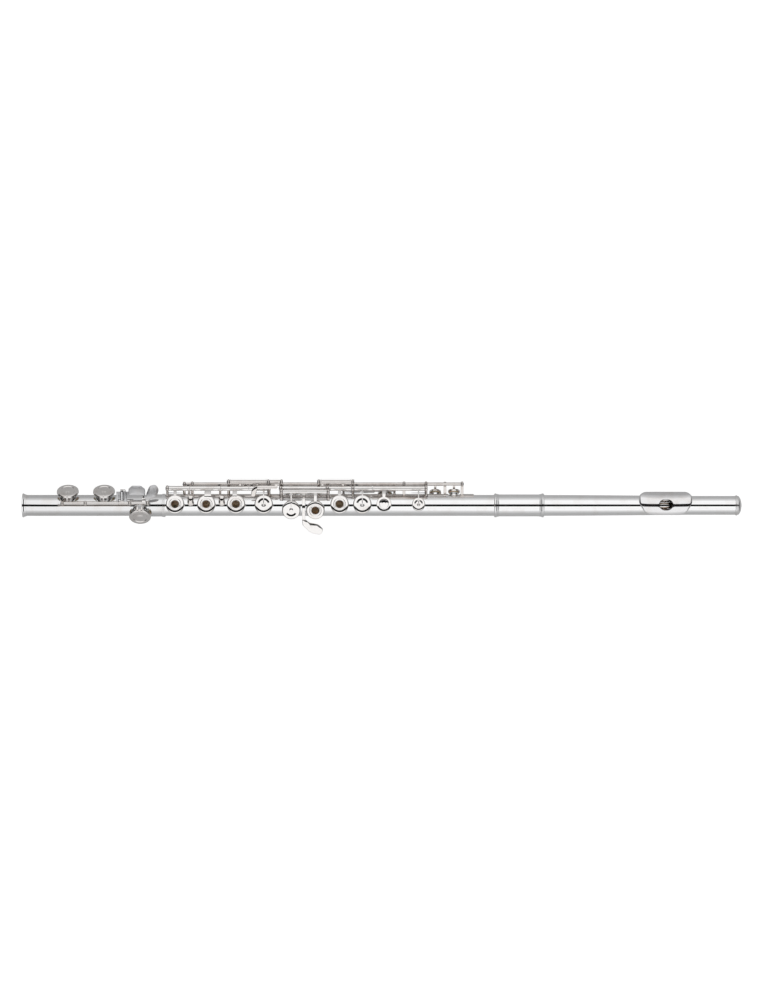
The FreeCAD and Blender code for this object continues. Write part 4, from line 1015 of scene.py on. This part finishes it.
def stack_key(name, start, end, lug):
    make_key(name, [sleeve(start, end, HINGE_R, STEEL_BORE, MAIN)] + cup_and_arm(CUPS[name], MAIN)
             + [clutch(lug, MAIN, BRIDGE, 3.45)], MAIN, -REST_OPEN)
    make_pad(name, [CUPS[name]], MAIN, -REST_OPEN)


D_E, E_F, F_F_SHARP = 158.45, 187.75, 214.25     # where one key's tube meets the next
stack_key("d", MAIN_POSTS[0] + STOP, D_E - HALF_GAP, 156.8)
stack_key("e", D_E + HALF_GAP, E_F - HALF_GAP, 186.0)
stack_key("f", E_F + HALF_GAP, F_F_SHARP - HALF_GAP, 211.0)
stack_key("f_sharp", F_F_SHARP + HALF_GAP, MAIN_POSTS[1] - STOP, 217.0)

BRIDGE_R = 2.15
arm_silver = silver("arm silver", (0.77, 0.735, 0.71), tarnish=0.26, hairlines=0.16, warm=(0.44, 0.35, 0.28))


def bridge_tube(name, left, right, lugs):
    x0, x1 = left + STOP, right - STOP
    shells = [sleeve(x0, x1, BRIDGE_R, STEEL_BORE, BRIDGE)]
    shells += [sleeve(x, x + 1.2, BRIDGE_R + 0.25, BRIDGE_R - 0.1, BRIDGE) for x in (x0, x1 - 1.2)]
    shells += [clutch(x, BRIDGE, MAIN, 3.25) for x in lugs]
    make_piece(name + "_tube", shells, name, arm_silver, [name])


bridge_tube("rh_bridge", BRIDGE_POSTS[0], BRIDGE_POSTS[1], (206.0, 222.5))

lever_plate = outline_plate([(216.2, 8.2, 2.2), (220.2, 8.2, 2.2), (221.8, 13.6, 5.0), (223.6, 18.0, 1.2),
                             (219.8, 18.0, 3.0), (217.0, 14.6, 5.0)], 12.9, 13.7, 0.35, 0.2)
lever = [sleeve(BRIDGE_POSTS[1] + STOP, BRIDGE_POSTS[2] - STOP, BRIDGE_R, STEEL_BORE, BRIDGE),
         forged([(240.2, 21.4, 10.2), (240.2, 19.9, 12.2), (240.2, 18.2, 13.1), (240.2, 16.6, 13.4)],
                [3.0, 3.0, 2.8, 2.4], 1.2, AGAINST),
         forged([(220.0, 16.2, 13.3), (225.0, 17.0, 13.6), (232.0, 17.1, 13.6), (240.6, 16.9, 13.4)],
                [3.0] * 4, 1.3, (0, 1, 0), 0.5),
         tipped(lever_plate, (13.2, 13.3), -8.0)]
make_piece("b_flat_lever_forged", lever, "b_flat_lever", arm_silver, ["b_flat_lever"])


# ==== G keys and G sharp key
# The two G cups stand on a line of their own, tipped away from the player. The G sharp lever runs
# between them from the main line to its long teardrop under the left little finger.
G_TUBE_R = 2.1
g_key = [sleeve(G_POSTS[0] + STOP, G_POSTS[1] - STOP, G_TUBE_R, STEEL_BORE, G_LINE)]
g_key += cup_and_arm(CUPS["low_g"], G_LINE) + cup_and_arm(CUPS["g"], G_LINE)
make_key("g", g_key, G_LINE, -REST_OPEN)
make_pad("g", [CUPS["low_g"], CUPS["g"]], G_LINE, -REST_OPEN)

LEVER_X = 266.0
lever_way = [(14.9, 8.6), on_tube(14.1, 56), on_tube(13.3, 42), on_tube(13.7, 22), on_tube(14.2, 0),
             on_tube(14.6, -18), (-8.6, 12.9), (-12.6, 11.6), (-15.6, 11.2)]
teardrop = outline_plate([(264.6, -13.2, 0.8), (268.0, -13.2, 1.5), (271.4, -16.0, 3.0), (279.6, -17.4, 5.0),
                          (285.2, -23.0, 4.0), (281.8, -28.1, 3.4), (272.4, -26.0, 9.0), (264.6, -18.4, 6.0)],
                         10.6, 11.7, 0.5, 0.25, (274.0, -21.0))
cup_way = [(16.3, 6.8), (16.9, 5.0), on_tube(17.3, 77.5), on_tube(16.6, 82.6)]
g_sharp = [sleeve(G_SHARP_POST + STOP, MAIN_POSTS[2] - STOP, HINGE_R, STEEL_BORE, MAIN),
           forged([(LEVER_X, *place) for place in lever_way], [2.9] * 9, 1.2, AGAINST, 0.25, 4),
           tipped(teardrop, (-21.0, 11.2), -9.0),
           placed(plain_cup(8.0), seat(CUPS["g_sharp"][0], 110.0)),
           forged([(254.0, *place) for place in cup_way], [3.2] * 4, 1.1)]
make_key("g_sharp", g_sharp, MAIN, 0.0)
make_pad("g_sharp", [CUPS["g_sharp"]], MAIN, 0.0)


# ==== left-hand keys, thumb keys and trill keys
# A is an open cup, B flat a plain one tied to it by the second bridge. The index finger has a dished
# touch, the thumb two curved plates at the back, and two long rods carry the trill cups.
stack_key("a", MAIN_POSTS[2] + STOP, MAIN_POSTS[3] - STOP, 308.0)
stack_key("b_flat", MAIN_POSTS[3] + STOP, 330.6, 316.0)
bridge_tube("lh_bridge", BRIDGE_POSTS[3], BRIDGE_POSTS[4], (283.6, 303.0))

DISH_X = 341.7
dish_outline = rounded([(0, 13.7, 0), (2.0, 13.7, 1.5), (5.0, 14.15, 2.0), (7.0, 14.7, 0.3),
                        (7.05, 15.0, 0.2), (6.75, 15.33, 0.25), (5.1, 15.6, 1.6), (4.3, 15.47, 0.15),
                        (4.1, 15.24, 0.2), (3.4, 15.14, 3.0), (1.7, 14.98, 4.0), (0, 14.93, 0)], False, 6)
dish = placed(spun(dish_outline, circle(64)), Matrix.Translation((DISH_X, 0, 0)))
index = [sleeve(331.0, MAIN_POSTS[4] - STOP, HINGE_R, STEEL_BORE, MAIN), dish,
         forged([(DISH_X, 15.4, 9.0), (DISH_X, 12.6, 12.3), (DISH_X, 9.4, 14.3), (DISH_X, 6.5, 15.0)],
                [3.4, 3.4, 3.2, 2.8], 1.0, AGAINST)] + cup_and_arm(CUPS["c_sharp"], MAIN)
make_key("index", index, MAIN, -REST_OPEN)
make_pad("index", [CUPS["c_sharp"]], MAIN, -REST_OPEN)

THUMB_OPEN = 12.0
THUMB_TUBE_R = 1.9
THUMB_JOIN = 320.45


def thumb_plate(x, width, radii):
    """A curved touch for the thumb."""
    way = [(THUMB_LINE[0] + 0.6, THUMB_LINE[1] - 1.0), *map(on_tube, radii, (121, 134, 147.5))]
    widths = [width * 0.8, width, width, width * 0.86]
    return forged([(x, *place) for place in way], widths, 1.2, AGAINST, 0.3)


thumb_cup = CUPS["thumb"]
thumb_arm = [(THUMB_LINE[0] + 0.3, THUMB_LINE[1] - 0.9), on_tube(16.6, 118), on_tube(15.9, 127),
             on_tube(15.6, 136), on_tube(15.3, 145)]
thumb_b = [sleeve(THUMB_JOIN + HALF_GAP, THUMB_POSTS[1] - STOP, THUMB_TUBE_R, STEEL_BORE, THUMB_LINE),
           placed(plain_cup(thumb_cup[2]), seat(*thumb_cup[:2])),
           forged([(342.7, *place) for place in thumb_arm], [2.8, 2.8, 2.5, 1.8, 0.7], 1.0, AGAINST),
           thumb_plate(327.5, 11.8, (17.4, 17.9, 18.6))]
make_key("thumb_b", thumb_b, THUMB_LINE, THUMB_OPEN)
make_pad("thumb_b", [thumb_cup], THUMB_LINE, THUMB_OPEN)
thumb_flat = [sleeve(THUMB_POSTS[0] + STOP, THUMB_JOIN - HALF_GAP, THUMB_TUBE_R, STEEL_BORE, THUMB_LINE),
              thumb_plate(314.3, 11.4, (17.6, 18.4, 19.4))]
make_key("thumb_b_flat", thumb_flat, THUMB_LINE, THUMB_OPEN)


def trill_key(name, line, touch_x, ends):
    """A long rod with a cup at one end and, past the other keys, a touch on a curved arm."""
    x, angle, radius = CUPS[name][:3]
    y, z = line
    arm_x = touch_x - 1.78
    way = [(y - 0.9, z - 0.1), on_tube(15.6, 80), on_tube(13.1, 70), on_tube(13.4, 56), on_tube(13.8, 40),
           on_tube(14.1, 28)]
    cup_way = [(y - 0.4, z - 0.8), on_tube(17.2, angle - 18), on_tube(15.75, angle - 10),
               on_tube(15.4, angle)]
    touch = outline_plate([(touch_x - 2.9, -0.4, 2.8), (touch_x + 2.9, -0.4, 2.8), (touch_x + 2.9, 9.2, 2.8),
                           (touch_x - 2.9, 9.2, 2.8)], 13.4, 14.2, 0.4, 1.1)
    shells = [rod(ends[0] + STOP, ends[1] - STOP, TRILL_R, line),
              forged([(arm_x, *place) for place in way] + [(touch_x - 1.6, 4.4, 14.1)], [2.1] * 7, 1.1,
                     AGAINST, 0.2, 4),
              tipped(touch, (4.4, 14.0), -6.0), placed(plain_cup(radius), seat(x, angle)),
              forged([(x, *place) for place in cup_way], [2.2, 2.2, 2.0, 0.8], 0.95, AGAINST)]
    make_key(name, shells, line, 0.0, arm_silver)
    make_pad(name, [CUPS[name]], line, 0.0)


trill_key("trill_d_sharp", TRILL_SHARP_LINE, 188.8, SHARP_POSTS)
trill_key("trill_d", TRILL_LINE, 159.4, PLAIN_POSTS)


# ==== head tube, riser and lip plate
# The head tapers towards the crown. A short riser joins it to the curved lip plate, and one oval
# hole with undercut walls goes through all three.
LIP_X = (582.4, 632.6)
LIP_Y = (-9.4, 13.1)
LIP_CHIN = 13.3
LIP_TOP = 13.4
LIP_END = 10.4
LIP_SHEET = 1.0
MOUTH = (607.7, 0.6)
MOUTH_HALF = (6.3, 5.4)
HEAD_WALL = 0.4
TAPER_END = 625.0
HEAD_END_R = 8.9
h0, h1 = ends_x("head_tube")


def head_radius(x):
    """Outside radius of the tapering head."""
    if x >= TAPER_END:
        return HEAD_END_R
    t = max(0.0, (x - b1) / (TAPER_END - b1))
    return 9.8 - 0.9 * t * t * (1.6 - 0.6 * t)


def in_mouth(x, y, z):
    """Whether a place lies under the mouth hole, or within a hair of it."""
    grow = 0.9
    u, v = (x - MOUTH[0]) / (MOUTH_HALF[0] + grow), (y - MOUTH[1]) / (MOUTH_HALF[1] + grow)
    return z > 0 and u * u + v * v < 1


stations = [b1 + 0.02] + [b1 + 6 * k for k in range(1, 17)] + [594 + 0.8 * k for k in range(35)]
stations += [TAPER_END, 640.0, 655.0, h1 - 0.3, h1]
outer = [(h0, TUBE_R), (h0 + 0.3, TUBE_R), (b1, TUBE_R)] + [(x, head_radius(x)) for x in stations]
inner = [(x, (head_radius(x) if x > b1 else TUBE_R) - HEAD_WALL) for x, _ in outer]
verts, faces = turned(outer + inner[::-1], (0.0, 0.0), True, 128)
kept = [face for face in faces
        if not in_mouth(*(sum(verts[v][k] for v in face) / len(face) for k in range(3)))]
make_piece("head_tube_drawn", [(verts, kept)], "head_joint", tube_silver, ["head_tube"])


def oval(grow, steps):
    """The mouth hole's outline, grown all round."""
    return [(MOUTH[0] + (MOUTH_HALF[0] + grow) * x, MOUTH[1] + (MOUTH_HALF[1] + grow) * y)
            for x, y in circle(steps)]


def lip_radius(x):
    """Radius of the lip plate's outside: an arc that is highest over the mouth hole."""
    half = (LIP_X[1] - LIP_X[0]) / 2 + 1
    sag = LIP_TOP - LIP_END
    bend = (half * half + sag * sag) / (2 * sag)
    return LIP_TOP - (bend - math.sqrt(max(1.0, bend * bend - (x - MOUTH[0]) ** 2)))


def resampled(outline, ways, middle):
    """Points of an outline in the given directions from its middle."""
    polar = sorted((math.atan2(y - middle[1], x - middle[0]), x, y) for x, y in outline)
    first, last = polar[0], polar[-1]
    polar = [(last[0] - 2 * math.pi, *last[1:])] + polar + [(first[0] + 2 * math.pi, *first[1:])]
    made = []
    for way in ways:
        way = (way + math.pi) % (2 * math.pi) - math.pi
        for (a0, xa, ya), (a1, xb, yb) in zip(polar[:-1], polar[1:]):
            if a0 <= way <= a1 and a1 > a0:
                t = (way - a0) / (a1 - a0)
                made.append((xa + (xb - xa) * t, ya + (yb - ya) * t))
                break
    return made


x0, x1 = LIP_X
y0, y1 = LIP_Y
plan = rounded([(x0, y1, 7.5), (x0, 2.0, 14.0), (x0 + 6.5, y0, 10.0), (x1 - 6.5, y0, 10.0), (x1, 2.0, 14.0),
                (x1, y1, 7.5)], True, 14)
ways = [math.radians(way) for way in range(0, 360, 2)]
rim_plan = resampled(plan, ways, MOUTH)
hole_plan = resampled(oval(0.0, 240), ways, MOUTH)


def chin_radius(x, turn):
    """The plate swells to its full width on the player's side."""
    r = lip_radius(x)
    return r + max(0.0, LIP_CHIN - r) * max(0.0, math.sin(turn)) ** 2


def lip_point(x, turn, sink):
    r = chin_radius(x, turn) - sink
    return (x, r * math.sin(turn), r * math.cos(turn))


def lip_turn(x, y):
    """The angle round the tube at which the plate's outside reaches y, by halving."""
    low, high = -1.45, 1.45
    for _ in range(32):
        middle = (low + high) / 2
        if chin_radius(x, middle) * math.sin(middle) < y:
            low = middle
        else:
            high = middle
    return low


rim_sheet, hole_sheet = ([(x, lip_turn(x, y)) for x, y in outline] for outline in (rim_plan, hole_plan))


def sheet_loop(part, sink):
    return [lip_point(hx + (rx - hx) * part, ht + (rt - ht) * part, sink)
            for (hx, ht), (rx, rt) in zip(hole_sheet, rim_sheet)]


sheet = [(1.0, 0.0), (0.5, 0.0), (0.22, 0.004), (0.07, 0.012), (0.0, 0.03)]
sheet += [(0.0, 0.03 + 0.888 * k / 12) for k in range(1, 13)]
sheet += [(0.03, 0.932), (0.12, 0.945), (0.33, 0.96), (0.58, 0.975), (0.83, 0.99), (0.97, 0.998),
          (LIP_SHEET, 0.985), (LIP_SHEET, 0.8), (LIP_SHEET, 0.6), (LIP_SHEET, 0.4), (LIP_SHEET, 0.2)]
loops = [sheet_loop(part, sink) for sink, part in sheet]
lip_silver = silver("lip plate silver", (0.8, 0.795, 0.805), tarnish=0.2, hairlines=0.14)
make_piece("lip_plate_formed", [looped(loops, True)], "head_joint", lip_silver,
           ["lip_plate"], 40)

RISER = 2.1
riser_loops = []
for grow, top in ((0.25, False), (0.1, None), (0.0, True), (RISER, True), (RISER, False)):
    loop = []
    for x, y in oval(grow, 96):
        bore = math.sqrt((head_radius(x) - HEAD_WALL) ** 2 - y * y)
        ceiling = math.sqrt((lip_radius(x) - LIP_SHEET + 0.05) ** 2 - y * y)
        z = ceiling if top else bore if top is False else (bore + ceiling) / 2
        loop.append((x, y, z))
    riser_loops.append(loop)
riser_brown = silver("riser silver", (0.5, 0.4, 0.32), tarnish=0.7, hairlines=0.5, warm=(0.3, 0.2, 0.14))
make_piece("riser_walls", [looped(riser_loops, True)], "head_joint", riser_brown,
           ["embouchure_riser"], 40)


# ==== crown, cork and stopper screw
# The crown screws on the stopper's rod and closes the head with a stepped dome. Between two thin
# plates on that rod sits the cork, which seals the bore a little above the mouth hole.
CROWN = ends_x("crown")[1] - 6.0
NECK_R = 8.45
crown_profile = rounded([(-5.7, 1.6, 0), (-5.7, NECK_R, 0.2), (0, NECK_R, 0), (0, 8.95, 0.05),
                         (0.6, 9.6, 0.2), (1.6, 9.6, 0.3), (2.2, 8.95, 0.15), (2.6, 8.95, 0.2),
                         (3.6, 8.6, 1.5), (5.3, 5.6, 6.0), (6.0, 0, 0)], False, 8)
crown_profile = crown_profile[:-1] + [(5.97, 2.0), (6.0, 0.0), (1.5, 0.0), (1.5, 1.6)]
make_piece("crown_turned", [turned([(CROWN + a, r) for a, r in crown_profile])], "crown_cap", ring_silver,
           ["crown"])


def make_cork():
    material, tree, shader = new_material("stopper cork")
    grains = tree.nodes.new("ShaderNodeTexVoronoi")
    tree.links.new(own_axes(tree), grains.inputs["Vector"])
    grains.inputs["Scale"].default_value = 900.0
    pits = ramp_between(tree, grains.outputs["Distance"], 0.05, 0.5)
    colour = blend_colours(tree, pits, (0.2, 0.1, 0.04, 1.0), (0.52, 0.34, 0.18, 1.0))
    tree.links.new(colour, shader.inputs["Base Color"])
    shader.inputs["Roughness"].default_value = 0.85
    dimpled(tree, shader, pits, 1.0, 0.0002)
    return material


dress("stopper_cork", make_cork())
dress("stopper_screw", steel_grey)


# ==== floor, studio light and camera
# A pale sweep stands for the table. A big soft tent lights the flute evenly, with a narrow dark
# gap overhead, which is what draws the black line along every polished tube.
FLOOR_GAP = 0.0004
TABLE_GLOW = (0.2, 0.85)     # as the flute mirrors it, and as it is seen
TENT_GAP = 10.5
CAMERA_X = 343.15
CAMERA_Y = 5.1
CAMERA_HEIGHT = 3.94

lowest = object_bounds()[0][2]
bpy.ops.mesh.primitive_plane_add(size=8.0, location=(CAMERA_X * MM, 0, lowest - FLOOR_GAP))
floor = bpy.context.object
floor.name = "table"
floor_paint, tree, shader = new_material("table paint")
shader.inputs["Base Color"].default_value = (0.42, 0.42, 0.42, 1.0)
shader.inputs["Roughness"].default_value = 0.9
shader.inputs["Emission Color"].default_value = (1.0, 1.0, 1.0, 1.0)
seen = tree.nodes.new("ShaderNodeLightPath").outputs["Is Camera Ray"]
tree.links.new(calc(tree, "MULTIPLY_ADD", seen, TABLE_GLOW[1] - TABLE_GLOW[0], TABLE_GLOW[0]),
               shader.inputs["Emission Strength"])
floor.data.materials.append(floor_paint)

world = bpy.data.worlds.new("studio tent")
bpy.context.scene.world = world
world.use_nodes = True
tree = world.node_tree
tree.nodes.clear()
background = tree.nodes.new("ShaderNodeBackground")
tree.links.new(background.outputs[0], tree.nodes.new("ShaderNodeOutputWorld").inputs["Surface"])
split = tree.nodes.new("ShaderNodeSeparateXYZ")
tree.links.new(tree.nodes.new("ShaderNodeTexCoord").outputs["Generated"], split.inputs[0])
around = calc(tree, "ARCTAN2", split.outputs["Y"], split.outputs["Z"])
lean = calc(tree, "DIVIDE", calc(tree, "ABSOLUTE", around), math.pi)
tent = tree.nodes.new("ShaderNodeValToRGB")
tree.links.new(lean, tent.inputs["Fac"])
stops = ((0, 0.012), (TENT_GAP, 0.012), (TENT_GAP + 2.0, 1.06), (54, 1.04), (66, 0.78), (78, 0.64),
         (90, 0.56), (180, 0.5))     # degrees from overhead, and how bright the tent is there
while len(tent.color_ramp.elements) < len(stops):
    tent.color_ramp.elements.new(0.5)
for element, (degrees, level) in zip(tent.color_ramp.elements, stops):
    element.position = degrees / 180
    element.color = (level, level, level, 1.0)
tree.links.new(tent.outputs["Color"], background.inputs["Color"])
endways = calc(tree, "ABSOLUTE", split.outputs["X"])
tree.links.new(ramp_between(tree, endways, 0.4, 0.8, 1.0, 0.06), background.inputs["Strength"])

camera_data = bpy.data.cameras.new("camera")
camera = bpy.data.objects.new("camera", camera_data)
bpy.context.scene.collection.objects.link(camera)
camera_data.lens = 150.0
camera_data.sensor_fit = "VERTICAL"
camera_data.sensor_height = 36.0
camera_data.clip_end = 20.0
camera.location = (CAMERA_X * MM, CAMERA_Y * MM, CAMERA_HEIGHT)
bpy.context.scene.camera = camera
bpy.context.scene.view_settings.view_transform = "Standard"
